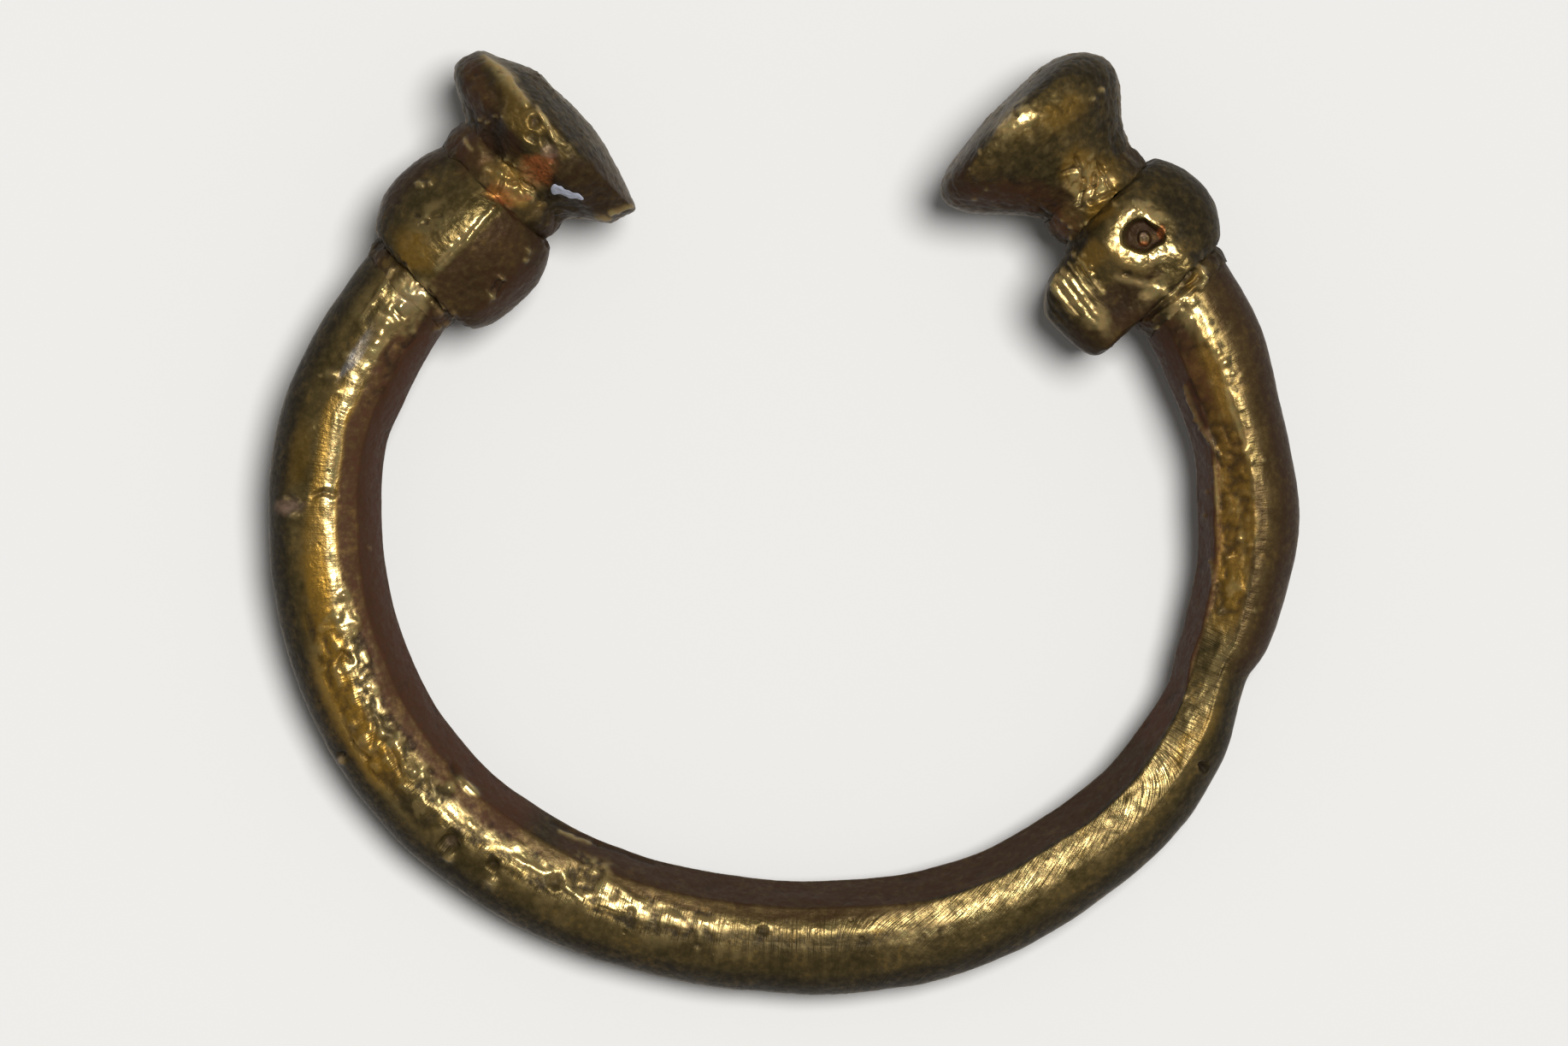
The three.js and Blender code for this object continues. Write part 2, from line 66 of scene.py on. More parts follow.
# Bar along the hoop, by direction from the middle of the hole: distance of its centre line as a
# share of the middle radius, then its thickness and height as shares of the fullest bar, then the
# flatness of its filed facets as a share, then the two facet edges in degrees round the section
HOOP_STATION_SHARES = np.array([
    [149.5, 0.926, 0.93, 0.93, 0.5, 96, 126],
    [156, 0.94, 0.95, 0.96, 0.5, 96, 126],
    [163, 0.96, 0.966, 0.98, 0.6, 96, 126],
    [171, 0.979, 0.97, 1, 0.6, 97, 126],
    [184, 0.985, 0.996, 1, 0.6, 97, 126],
    [201, 0.988, 1, 1, 0.6, 97, 126],
    [218, 0.98, 0.998, 1, 0.7, 98, 127],
    [235, 0.954, 0.986, 1, 0.8, 98, 127],
    [252, 0.931, 0.99, 1, 0.9, 101, 126],
    [262, 0.927, 0.986, 1, 1, 104, 126],
    [270, 0.93, 0.986, 1, 1, 105, 127],
    [277, 0.937, 0.998, 1, 1, 104, 127],
    [288, 0.955, 0.967, 0.99, 1, 96, 122],
    [298, 0.97, 0.918, 0.98, 1, 88, 119],
    [309, 0.98, 0.88, 0.97, 1, 84, 118],
    [320, 0.997, 0.828, 0.96, 1, 80, 118],
    [330, 0.996, 0.762, 0.94, 1, 76, 120],
    [336, 0.987, 0.648, 0.9, 1, 76, 124],
    [340, 0.981, 0.68, 0.9, 1, 78, 128],
    [344, 0.989, 0.762, 0.93, 1, 78, 128],
    [352, 0.995, 0.83, 0.96, 1, 81, 130],
    [360, 0.995, 0.892, 0.98, 1, 84, 133],
    [366, 0.989, 0.84, 0.98, 0.9, 84, 131],
    [372, 0.981, 0.84, 0.98, 0.8, 84, 127],
    [380, 0.975, 0.94, 0.98, 0.7, 90, 126],
    [388, 0.966, 0.945, 0.96, 0.6, 94, 126],
])
MIDDLE, THICKNESS, HEIGHT, FLATNESS, FIRST_EDGE, SECOND_EDGE = range(1, 7)

# Flared terminals from the neck to the face: distance along the length as a share, then the outer
# edge, the inner edge and the height as shares of the half width and the half height
LEFT_FLARE_STATION_SHARES = np.array([
    [0, 0.565, -0.655, 0.6],
    [0.1, 0.575, -0.68, 0.61],
    [0.2, 0.69, -0.72, 0.68],
    [0.32, 0.9, -0.83, 0.83],
    [0.39, 0.97, -0.92, 0.92],
    [0.46, 1.0, -0.98, 0.965],
    [0.6, 0.99, -1.02, 0.99],
    [0.74, 0.93, -1.04, 0.985],
    [0.8, 0.82, -0.92, 0.93],
    [0.88, 0.67, -0.72, 0.75],
    [0.95, 0.55, -0.5, 0.5],
    [1, 0.45, -0.25, 0.3],
])
RIGHT_FLARE_STATION_SHARES = np.array([
    [0, 0.595, -0.47, 0.51],
    [0.12, 0.635, -0.47, 0.53],
    [0.28, 0.74, -0.59, 0.65],
    [0.43, 0.89, -0.78, 0.76],
    [0.57, 0.99, -0.92, 0.87],
    [0.7, 1.0, -1, 0.95],
    [0.83, 0.92, -0.98, 0.99],
    [0.91, 0.82, -0.83, 0.93],
    [0.96, 0.7, -0.55, 0.74],
    [1, 0.52, -0.2, 0.36],
])
OUTER_EDGE, INNER_EDGE, FLARE_HEIGHT = range(1, 4)

# Flats hammered round the flares: turn in degrees and depth as a share of the reach
LEFT_FLARE_FACET_SHARES = [
    [52, 0.96],
    [96, 0.965],
    [136, 0.96],
    [232, 0.96],
    [300, 0.96],
]
RIGHT_FLARE_FACET_SHARES = [
    [70, 0.985],
    [118, 0.98],
    [250, 0.98],
]

# Facets hammered on the knobs: direction round the axis and lean towards the flare, in degrees,
# and depth as a share of the knob's reach that way
LEFT_KNOB_FACET_SHARES = [
    [52, 8, 0.95],
    [112, -6, 0.95],
    [158, 0, 0.96],
    [0, -38, 0.9],
    [180, 32, 0.95],
    [180, -48, 0.93],
]
RIGHT_KNOB_FACET_SHARES = [
    [128, 10, 0.95],
    [180, -40, 0.94],
    [60, 24, 0.95],
]

# Seams: end of the ring, neighbour on the seam, spread and swell of the brazing metal as shares of
# their sizes, seed of its noise, and how dull and brown it is
SEAM_SHARES = [
    ["left", "hoop", 1.2, 1.0, 3, 0.7],
    ["right", "hoop", 1.0, 1.0, 5, 0.4],
    ["left", "neck", 1.7, 1.6, 7, 0.85],
    ["right", "neck", 1.4, 1.5, 9, 0.3],
]

# Pits seen from above: place on the photograph in pixels, then radius and depth in millimetres
PITS = [
    [1188, 138, 0.055, 0.05], [341, 590, 0.26, 0.11], [526, 986, 0.24, 0.18],
    [577, 1010, 0.14, 0.2], [650, 1030, 0.19, 0.1], [398, 883, 0.1, 0.09], [738, 1066, 0.09, 0.05],
    [815, 1105, 0.08, 0.05], [893, 1087, 0.12, 0.06], [1406, 897, 0.12, 0.12],
    [500, 261, 0.09, 0.05], [490, 254, 0.07, 0.04], [517, 254, 0.07, 0.04], [628, 147, 0.15, 0.07],
    [625, 165, 0.15, 0.06], [1185, 138, 0.1, 0.06], [1317, 320, 0.09, 0.05],
    [1383, 361, 0.09, 0.05], [503, 900, 0.09, 0.06], [425, 842, 0.1, 0.05], [440, 882, 0.1, 0.05],
]

# Beads of metal seen from above: place on the photograph in pixels, then radius and height in
# millimetres
BEADS = [
    # Hoop, at its left end
    [389, 438, 0.13, 0.07], [376, 439, 0.06, 0.04], [394, 458, 0.09, 0.04], [483, 345, 0.15, 0.055],
    [472, 361, 0.14, 0.05], [458, 362, 0.1, 0.035], [467, 378, 0.11, 0.04], [452, 380, 0.13, 0.045],
    [446, 391, 0.12, 0.04], [439, 402, 0.07, 0.04], [507, 356, 0.06, 0.05], [531, 369, 0.07, 0.06],
    [513, 384, 0.07, 0.06], [518, 362, 0.14, 0.06], [526, 383, 0.12, 0.05],
    # Hoop, at its right end
    [1379, 361, 0.2, 0.07], [1393, 352, 0.1, 0.035], [1398, 382, 0.15, 0.05],
    [1403, 394, 0.14, 0.05], [1388, 373, 0.08, 0.05], [1412, 403, 0.08, 0.05],
    [1422, 413, 0.1, 0.05], [1431, 425, 0.1, 0.05], [1441, 438, 0.06, 0.05],
    [1450, 439, 0.05, 0.04], [1437, 446, 0.05, 0.04], [1447, 447, 0.05, 0.04],
    [1376, 386, 0.05, 0.04], [1366, 372, 0.06, 0.04], [1352, 384, 0.06, 0.04],
    # Right knob
    [1254, 298, 0.05, 0.04], [1267, 301, 0.05, 0.04], [1258, 310, 0.05, 0.04],
    [1274, 312, 0.05, 0.04], [1276, 322, 0.06, 0.04], [1322, 240, 0.06, 0.04],
    [1326, 244, 0.05, 0.04], [1404, 320, 0.12, 0.05], [1400, 332, 0.12, 0.06],
    # Left neck
    [604, 222, 0.1, 0.09], [612, 229, 0.1, 0.07], [623, 231, 0.07, 0.06], [588, 203, 0.09, 0.08],
    [584, 188, 0.06, 0.06], [597, 211, 0.06, 0.05], [596, 190, 0.06, 0.05], [604, 196, 0.05, 0.05],
    [579, 247, 0.06, 0.05], [564, 142, 0.05, 0.05], [617, 200, 0.05, 0.04], [572, 199, 0.08, 0.05],
    # Right neck
    [1263, 198, 0.11, 0.06], [1287, 210, 0.12, 0.06], [1270, 226, 0.13, 0.06],
    [1281, 233, 0.09, 0.05], [1247, 220, 0.1, 0.05], [1258, 238, 0.1, 0.05],
    [1303, 241, 0.07, 0.04], [1275, 186, 0.08, 0.04],
    # Hoop, left limb and lower left
    [351, 585, 0.07, 0.05], [334, 583, 0.06, 0.04], [346, 601, 0.1, 0.1], [525, 1002, 0.1, 0.11],
    [575, 1031, 0.13, 0.12], [399, 889, 0.09, 0.09], [405, 697, 0.1, 0.06], [395, 722, 0.11, 0.05],
    [417, 728, 0.1, 0.06], [437, 838, 0.14, 0.08], [449, 857, 0.15, 0.09], [425, 868, 0.12, 0.06],
    [412, 850, 0.1, 0.05], [475, 897, 0.14, 0.09], [486, 903, 0.11, 0.07], [461, 843, 0.1, 0.05],
    [433, 776, 0.13, 0.06], [444, 847, 0.11, 0.07], [458, 861, 0.12, 0.07], [441, 871, 0.08, 0.06],
    [454, 887, 0.1, 0.07], [471, 880, 0.1, 0.05], [495, 911, 0.11, 0.06], [525, 921, 0.14, 0.14],
    [514, 934, 0.08, 0.05], [433, 640, 0.04, 0.03],
    # Left flare and left knob
    [569, 148, 0.05, 0.04], [580, 141, 0.05, 0.04], [589, 141, 0.05, 0.04], [492, 217, 0.07, 0.09],
    [504, 216, 0.06, 0.08], [502, 255, 0.06, 0.03], [621, 295, 0.08, 0.1], [618, 306, 0.07, 0.08],
    [589, 327, 0.08, 0.12], [577, 346, 0.1, 0.12],
    # Right neck and right flare
    [1241, 257, 0.04, 0.05], [1250, 267, 0.05, 0.05], [1262, 266, 0.04, 0.05],
    [1269, 263, 0.05, 0.05], [1252, 279, 0.04, 0.05], [1143, 180, 0.05, 0.04],
    [1130, 202, 0.05, 0.04], [1138, 235, 0.05, 0.04], [1153, 225, 0.05, 0.04],
    [1288, 107, 0.06, 0.04], [1277, 118, 0.05, 0.03],
    # Hoop, right limb
    [1463, 540, 0.06, 0.04], [1409, 603, 0.05, 0.07], [1403, 503, 0.05, 0.07],
    [1454, 528, 0.06, 0.07], [1477, 537, 0.05, 0.07], [1416, 657, 0.05, 0.08],
    [1425, 714, 0.06, 0.08], [1466, 714, 0.05, 0.06], [1447, 632, 0.06, 0.07],
    [1459, 637, 0.05, 0.06], [1436, 653, 0.06, 0.08], [1421, 680, 0.05, 0.08],
    [1412, 575, 0.05, 0.06],
]

# Grooves seen from above: the places of both ends on the photograph in pixels, then half width and
# depth in millimetres. A negative depth is a ridge.
GROOVES = [
    # Hoop, at its left end
    [461, 317, 448, 339, 0.045, -0.06], [448, 339, 436, 357, 0.045, -0.05],
    [436, 357, 423, 373, 0.035, -0.04], [462, 361, 473, 373, 0.04, 0.06],
    # Right knob, beside the hoop
    [1400, 314, 1407, 326, 0.05, -0.09], [1407, 326, 1402, 336, 0.05, -0.07],
    [1390, 322, 1378, 345, 0.06, 0.05],
    # Hoop, left limb and lower left
    [369, 580, 380, 575, 0.05, 0.06], [380, 575, 394, 579, 0.06, 0.08],
    [645, 962, 700, 987, 0.04, 0.025], [700, 987, 764, 1009, 0.04, 0.025],
    [655, 972, 690, 985, 0.04, -0.02], [392, 782, 399, 762, 0.05, 0.07],
    [399, 762, 414, 772, 0.05, 0.07], [399, 801, 392, 779, 0.05, -0.04],
    [505, 912, 513, 932, 0.1, 0.05], [530, 897, 539, 914, 0.08, 0.06],
    [538, 911, 557, 928, 0.09, -0.07], [432, 828, 440, 850, 0.05, 0.06],
    [440, 850, 436, 872, 0.05, 0.06], [400, 835, 412, 868, 0.06, 0.05],
    [412, 868, 430, 888, 0.06, 0.06], [455, 872, 470, 905, 0.06, 0.07],
    # Left knob
    [586, 329, 577, 343, 0.05, 0.05], [592, 332, 582, 347, 0.04, 0.04],
    # Left flare
    [572, 85, 583, 120, 0.16, 0.05], [583, 120, 580, 190, 0.18, 0.06],
    [572, 66, 597, 95, 0.14, -0.04], [597, 95, 617, 122, 0.1, -0.06],
    [630, 132, 643, 151, 0.045, -0.06], [643, 151, 651, 168, 0.045, -0.065],
    [651, 168, 663, 173, 0.04, -0.06], [640, 165, 650, 190, 0.09, 0.05],
    [715, 252, 746, 240, 0.05, -0.07], [698, 257, 714, 259, 0.06, -0.05],
    [545, 166, 552, 176, 0.05, -0.04],
    # Right flare
    [1168, 155, 1191, 134, 0.09, -0.04],
    # Seam beside the snout
    [1341, 372, 1400, 328, 0.05, 0.07],
    # Hoop, at the bottom
    [663, 1038, 682, 1053, 0.05, -0.04], [706, 1028, 748, 1054, 0.05, -0.04],
    [597, 1000, 632, 1018, 0.06, -0.03],
    # File marks and bevels of the snout
    [1260, 303, 1289, 345, 0.03, -0.02], [1254, 306, 1284, 350, 0.025, 0.025],
    [1249, 309, 1275, 347, 0.025, -0.02], [1247, 315, 1279, 360, 0.025, 0.03],
    [1242, 317, 1280, 370, 0.035, -0.03], [1237, 319, 1275, 372, 0.025, 0.03],
    [1235, 323, 1277, 380, 0.03, -0.03], [1232, 330, 1262, 372, 0.025, 0.025],
    [1228, 333, 1255, 370, 0.03, -0.02], [1225, 341, 1248, 371, 0.025, 0.02],
    [1305, 325, 1330, 333, 0.08, -0.03], [1330, 333, 1362, 344, 0.08, -0.04],
    # Left knob's arris
    [577, 247, 548, 283, 0.07, -0.045], [548, 283, 514, 316, 0.07, -0.04],
    # Right neck
    [1258, 188, 1268, 214, 0.05, 0.07], [1268, 214, 1260, 242, 0.05, 0.07],
    [1285, 194, 1296, 222, 0.05, 0.07], [1274, 238, 1300, 226, 0.05, 0.06],
    [1243, 206, 1262, 200, 0.04, 0.06], [1279, 205, 1277, 230, 0.04, 0.05],
    # Left neck
    [597, 215, 612, 214, 0.04, 0.06], [612, 214, 624, 224, 0.04, 0.06],
    [590, 212, 584, 228, 0.04, 0.06],
    # Hoop, right limb
    [1385, 452, 1400, 490, 0.035, -0.08], [1400, 490, 1424, 534, 0.035, -0.09],
    [1420, 545, 1423, 600, 0.035, -0.04], [1416, 655, 1419, 690, 0.03, -0.04],
    [1390, 446, 1408, 484, 0.035, 0.03],
]

# Stains seen from above, by the mask that they add to, among them patches of painted shade, painted
# sheen and painted glints: place on the photograph in pixels, half length and half width in
# millimetres, turn of the length in degrees, and strength
STAINS = {
    "amber": [
        [368, 660, 1.3, 0.3, 88, 0.5], [408, 845, 1.2, 0.45, -60, 1.0],
        [436, 880, 0.7, 0.4, -45, 1.0], [384, 760, 0.9, 0.22, -75, 0.9],
        [448, 890, 0.6, 0.4, -50, 0.7], [350, 530, 0.8, 0.3, 80, 0.3],
        [1432, 640, 1.5, 0.3, 86, 0.85], [1390, 870, 1.2, 0.2, 50, 0.35],
        [488, 300, 0.6, 0.4, -60, 0.6], [605, 130, 0.8, 0.35, -60, 0.3],
        [1243, 137, 0.6, 0.35, 40, 0.5], [1272, 205, 0.6, 0.5, 0, 0.8],
        [1200, 150, 0.5, 0.3, 45, 0.2], [606, 207, 0.6, 0.4, -20, 0.8],
        [640, 150, 0.4, 0.3, 0, 0.3], [1395, 328, 0.3, 0.12, 50, 0.9],
        [1420, 560, 0.5, 0.25, 80, 0.6], [590, 90, 0.8, 0.14, -50, 0.25],
        [1288, 245, 0.6, 0.3, 60, 0.7], [1278, 300, 0.4, 0.3, 40, 0.5],
        [1320, 305, 0.5, 0.2, -40, 0.4], [1350, 280, 0.16, 0.1, 0, 1.0],
        [598, 232, 0.5, 0.16, -20, 1.0],
    ],
    "umber": [
        [1445, 530, 0.6, 0.25, 70, 0.6], [600, 345, 1.1, 0.7, 44, 0.7],
        [690, 220, 1.0, 0.6, -15, 0.3], [1180, 232, 1.5, 0.35, 0, 0.7],
        [1115, 215, 0.4, 0.7, 10, 0.5], [515, 375, 0.6, 0.4, 40, 0.8],
        [548, 170, 0.5, 0.3, -60, 0.5], [1320, 385, 0.8, 0.5, 40, 0.5],
        [560, 110, 1.1, 0.3, -70, 0.6], [560, 180, 0.6, 0.5, -60, 0.7],
        [596, 170, 0.4, 0.3, -60, 0.5], [1312, 346, 0.9, 0.5, 35, 0.3],
    ],
    # Dark tarnish and painted shade: dark patches where the knobs, the snout and the flares turn away
    # from the light.
    "shade_and_tarnish": [
        [1240, 264, 0.5, 0.35, 45, 0.6], [690, 215, 1.2, 0.7, -15, 0.9],
        [1392, 250, 1.0, 0.6, -60, 1.0], [1358, 217, 0.8, 0.5, -20, 0.95],
        [1432, 342, 1.0, 0.35, -60, 0.8], [1310, 354, 0.9, 0.55, 40, 1.0],
        [1265, 85, 0.9, 0.55, 20, 0.8], [1215, 110, 0.9, 0.3, 45, 0.5],
        [690, 205, 1.1, 0.5, -50, 0.7], [655, 125, 1.5, 0.5, -55, 1.0],
        [545, 120, 1.2, 0.4, -80, 0.9], [560, 90, 0.8, 0.3, -50, 0.8],
        [560, 185, 0.5, 0.4, -60, 0.6], [596, 350, 1.0, 0.6, 44, 0.85],
        [622, 300, 0.6, 0.5, 0, 0.6], [1130, 220, 0.7, 0.5, 30, 0.5],
    ],
    # Rubbed metal, partly real wear and partly painted highlight: bright patches laid where glints and
    # highlights fall.
    "crest_and_glint": [
        [470, 372, 0.5, 0.12, -45, 0.8], [440, 385, 0.6, 0.12, 60, 0.9],
        [525, 921, 0.16, 0.14, 0, 1.0], [547, 920, 0.26, 0.1, -42, 1.0],
        [412, 712, 0.5, 0.1, -70, 1.0], [445, 850, 0.5, 0.16, -60, 1.0],
        [336, 584, 0.07, 0.05, 0, 1.0], [350, 587, 0.07, 0.05, 0, 1.0],
        [346, 601, 0.1, 0.05, 0, 1.0], [527, 1002, 0.08, 0.04, 0, 1.0],
        [575, 1031, 0.12, 0.08, 0, 1.0], [1256, 345, 0.9, 0.28, -48, 0.8],
        [1352, 338, 0.4, 0.15, 30, 0.8], [543, 279, 0.9, 0.06, 46, 1.0],
        [512, 262, 0.7, 0.4, 46, 0.25], [1184, 144, 0.55, 0.3, 45, 0.9],
        [1421, 575, 0.7, 0.03, -87, 0.7], [1452, 640, 1.2, 0.05, 96, 0.5],
        [684, 1022, 0.5, 0.4, 20, 0.8], [1270, 215, 0.5, 0.35, 30, 0.9],
        [605, 215, 0.6, 0.35, -40, 0.3], [645, 152, 0.4, 0.07, -62, 1.0],
        [590, 78, 0.9, 0.1, -52, 0.2], [476, 356, 0.75, 0.42, 55, 1.0],
        [1385, 365, 0.5, 0.3, -50, 0.8],
    ],
    "chunky": [
        [512, 924, 0.3, 0.2, -40, 1.0], [1330, 295, 1.0, 0.8, 0, 0.25],
        [684, 1022, 0.5, 0.4, 20, 1.0], [1268, 212, 0.6, 0.4, 30, 0.7],
        [594, 225, 0.5, 0.3, -40, 0.6],
    ],
    "copper": [
        [631, 200, 0.34, 0.3, 10, 0.75], [590, 230, 0.3, 0.2, -40, 0.7],
        [1246, 262, 0.4, 0.3, 45, 0.15], [1336, 287, 0.12, 0.06, 0, 0.6],
        [1358, 272, 0.08, 0.18, 0, 0.9], [580, 225, 0.2, 0.2, 0, 0.4],
        [615, 233, 0.2, 0.07, 0, 0.8],
    ],
    # Painted sheen: cool bluish patches laid where a sheen of light falls near the left knob.
    "painted_sheen": [
        [424, 408, 0.5, 0.1, 60, 0.35], [408, 425, 0.4, 0.06, 62, 0.3],
        [480, 350, 0.35, 0.2, 40, 0.4],
    ],
    "pale": [
        [341, 592, 0.26, 0.2, 0, 0.6], [527, 985, 0.14, 0.1, 0, 0.3],
        [398, 888, 0.08, 0.06, 0, 0.4], [643, 181, 0.2, 0.14, 0, 0.4],
        [1336, 276, 0.08, 0.07, 0, 0.4],
    ],
}

# Stretches of the hoop with their own finish, by the mask that they add to, among them painted shade
# on the slopes and inner walls and painted highlight along the crest: first and last direction from
# the middle of the hole, first and last degrees round the section, and strength
HOOP_ZONES = {
    "umber": [
        [150, 232, 105, 180, 1.0], [236, 330, 124, 180, 0.55], [326, 388, 124, 180, 1.0],
        [150, 240, -180, -124, 0.9], [326, 388, -180, -124, 0.9], [236, 330, -180, -124, 0.55],
        [372, 388, 106, 180, 0.9], [224, 290, 112, 127, 0.45], [352, 384, 88, 128, 0.4],
        [343, 364, 56, 92, 0.35], [366, 388, 94, 122, 0.45], [340, 388, -20, 74, 0.4],
    ],
    # Painted shade: dark tarnish colour on outer slopes and inner walls, where the light falls off, and
    # to narrow the highlight along the bottom.
    "shade_and_tarnish": [
        [236, 330, 122, 180, 0.5], [236, 330, -180, -124, 0.5], [196, 217, -20, 49, 0.6],
        [372, 388, -20, 66, 0.6], [224, 290, 110, 127, 0.5], [250, 292, -20, 98, 0.6],
        [345, 372, 92, 124, 0.3], [328, 350, 96, 124, 0.45], [343, 364, 56, 88, 0.45],
        [368, 388, 102, 128, 0.6], [225, 345, -20, 86, 0.3], [165, 225, -20, 74, 0.25],
        [345, 388, -20, 70, 0.3],
    ],
    "amber": [
        [165, 186, 76, 88, 0.45], [164, 186, 100, 106, 0.7], [184, 200, 66, 90, 0.9],
        [198, 215, 50, 86, 1.0], [345, 382, 84, 122, 0.75],
    ],
    "chunky": [
        [345, 372, 88, 126, 0.8], [176, 192, 76, 114, 0.15], [192, 222, 60, 112, 1.0],
        [222, 262, 80, 116, 0.55], [262, 330, 84, 112, 0.3], [330, 388, 74, 126, 0.4],
        [150, 166, 60, 130, 0.5],
    ],
    "filed": [
        [292, 345, 76, 124, 1.0], [240, 292, 88, 116, 0.6], [200, 300, -20, 88, 0.9],
        [165, 200, -20, 84, 0.4], [300, 388, -20, 78, 0.35],
    ],
    "grainy": [
        [150, 388, 130, 180, 0.8],
    ],
    # Rubbed metal along the crest, partly real wear and partly painted highlight where the light
    # strikes.
    "crest_and_glint": [
        [150, 166, 88, 104, 0.9], [164, 192, 92, 103, 1.0], [192, 226, 88, 110, 0.9],
        [226, 262, 92, 110, 0.9], [262, 290, 101, 107, 0.6], [290, 328, 94, 108, 0.9],
        [284, 328, 82, 116, 0.4], [326, 344, 78, 96, 0.5], [345, 366, 81, 86, 0.3],
        [366, 388, 83, 91, 0.95],
    ],
}

# Noises that shape and colour the metal: length over which each one changes, in millimetres, and
# its seed, to which a seam adds its own
NOISES = {
    "hoop edges": (1.3, 5),
    "hoop zones": (0.9, 53),
    "marks across": (0.2, 41),
    "marks down": (0.2, 43),
    "stain edges": (0.5, 71),
    "dents": (1.5, 3),
    "grain": (0.34, 11),
    "fine grain": (0.14, 13),
    "lumps": (0.42, 23),
    "small lumps": (0.19, 29),
    "file marks": (0.16, 31),
    "fine file marks": (0.09, 37),
    "rubbing": (0.3, 61),
    "left knob ends": (0.4, 107),
    "right knob ends": (0.4, 109),
    "left knob umber": (0.6, 97),
    "drilled edge": (0.25, 83),
    "drilled lip": (0.3, 89),
    "flare tarnish": (1.1, 113),
    "braze width": (0.6, 0),
    "braze rise": (0.45, 3),
    "braze lumps": (0.35, 0),
    "braze grain": (0.1, 1),
    "braze patches": (0.5, 5),
    "crust edge": (0.7, 101),
    "crust drift": (0.8, 103),
}


def offset(name, millimetres, description, lowest=-1.0):
    """Property for a distance that may also be negative."""
    return bpy.props.FloatProperty(
        name=name,
        description=description,
        default=millimetres * MM,
        min=lowest,
        unit="LENGTH",
        precision=5,
    )


def length(name, millimetres, description):
    """Property for a length."""
    return offset(name, millimetres, description, lowest=0.0)


def colour(name, red, green, blue, description):
    """Property for a colour, given and kept as linear light."""
    return bpy.props.FloatVectorProperty(
        name=name,
        description=description,
        default=(red, green, blue),
        size=3,
        min=0.0,
        max=1.0,
        subtype="COLOR",
    )


def share(name, value, description):
    """Property for a share between nothing and all."""
    return bpy.props.FloatProperty(
        name=name,
        description=description,
        default=value,
        min=0.0,
        max=1.0,
        subtype="FACTOR",
    )


def turn(name, degrees, description):
    """Property for an angle."""
    return bpy.props.FloatProperty(
        name=name,
        description=description,
        default=math.radians(degrees),
        subtype="ANGLE",
    )


def strength(name, value, description):
    """Property for the strength of a light."""
    return bpy.props.FloatProperty(name=name, description=description, default=value, min=0.0)


class RingSizes(bpy.types.PropertyGroup):
    """Sizes of the ring's pieces."""

    finger_bore: length("Finger bore", 17.5, "Widest clear width of the finger hole")
    hoop_thickness: length("Hoop thickness", 2.5, "Radial thickness of the bar where it is fullest")
    hoop_height: length("Hoop height", 2.4, "Height of the bar where it is fullest")
    seam_gap: length("Seam gap", 0.04, "Running gap between pieces that seat on each other")
    braze_thickness: length("Braze thickness", 0.16, "Layer of brazing metal in each seam")
    braze_spread: length("Braze spread", 0.22, "How far the brazing metal has flowed along the bar")
    braze_swell: length("Braze swell", 0.035, "How far the brazing metal stands out of its seam")
    left_knob_length: length("Left knob length", 2.66, "Length of the left knob along its axis")
    left_knob_out: length("Left knob out", 1.9, "Reach of the left knob out of the ring")
    left_knob_in: length("Left knob in", 1.96, "Reach of the left knob into the ring")
    left_knob_half_height: length("Left knob half height", 1.78, "Half height of the left knob")
    right_knob_length: length("Right knob length", 2.48, "Length of the right knob along its axis")
    right_knob_out: length("Right knob out", 1.86, "Reach of the right knob out of the ring")
    right_knob_in: length("Right knob in", 1.5, "Reach of the right knob into the ring")
    right_knob_half_height: length("Right knob half height", 1.7, "Half height of the right knob")
    right_knob_offset: length("Right knob offset", 0.1, "How far the knob stands out of its axis")
    snout_length: length("Snout length", 2.6, "Length of the squared snout from the knob's middle")
    snout_towards_flare: length("Snout towards flare", 0.84, "Snout's side towards the flare")
    snout_towards_hoop: length("Snout towards hoop", 1.24, "Snout's side towards the hoop")
    snout_root_back: length("Snout root back", 0.6, "How far the snout's root reaches out")
    snout_flare_corner: length("Snout flare corner", 1.8, "Distance of the corner near the flare")
    snout_hoop_corner: length("Snout hoop corner", 2.54, "Distance of the corner near the hoop")
    snout_root_half_height: length("Snout root half height", 1.5, "Half height at the snout's root")
    snout_end_half_height: length("Snout end half height", 1.05, "Half height at the snout's end")
    ring_mark_radius: length("Ring mark radius", 0.4, "Outer radius of the drilled ring")
    ring_dot_radius: length("Ring dot radius", 0.16, "Radius of the dot left in the ring")
    ring_mark_depth: length("Ring mark depth", 0.2, "Depth of the drilled ring")
    ring_mark_ahead: length("Ring mark ahead", 0.09, "Mark's distance towards the flare")
    ring_mark_out: length("Ring mark out", 0.24, "Mark's distance out from the knob's middle")
    ring_lip_height: length("Ring lip height", 0.06, "Height of the lip pushed up round the mark")
    left_flare_length: length("Left flare length", 2.18, "Length of the left flared terminal")
    left_flare_half_width: length("Left flare half width", 2.42, "Half width of the left flare")
    left_flare_shift: offset("Left flare shift", 0.33, "How far the left flare leans out")
    right_flare_length: length("Right flare length", 2.82, "Length of the right flared terminal")
    right_flare_half_width: length("Right flare half width", 2.31, "Half width of the right flare")
    right_flare_shift: offset("Right flare shift", -0.03, "How far the right flare leans out")
    flare_half_height: length("Flare half height", 2.35, "Half height of both flares")
    ring_middle_x: offset("Ring middle X", 0.0083, "Middle of the hole along the length")
    ring_middle_y: offset("Ring middle Y", 0.397, "Middle of the hole along the width")
    ring_middle_z: length("Ring middle Z", 1.7599, "Height of the middle of the hole")
    rest_lean: turn("Rest lean", 3.8383, "Lean of the hoop's plane as the ring rests")
    crust_width: length("Crust width", 0.24, "Width of the pale crust on the left flare")


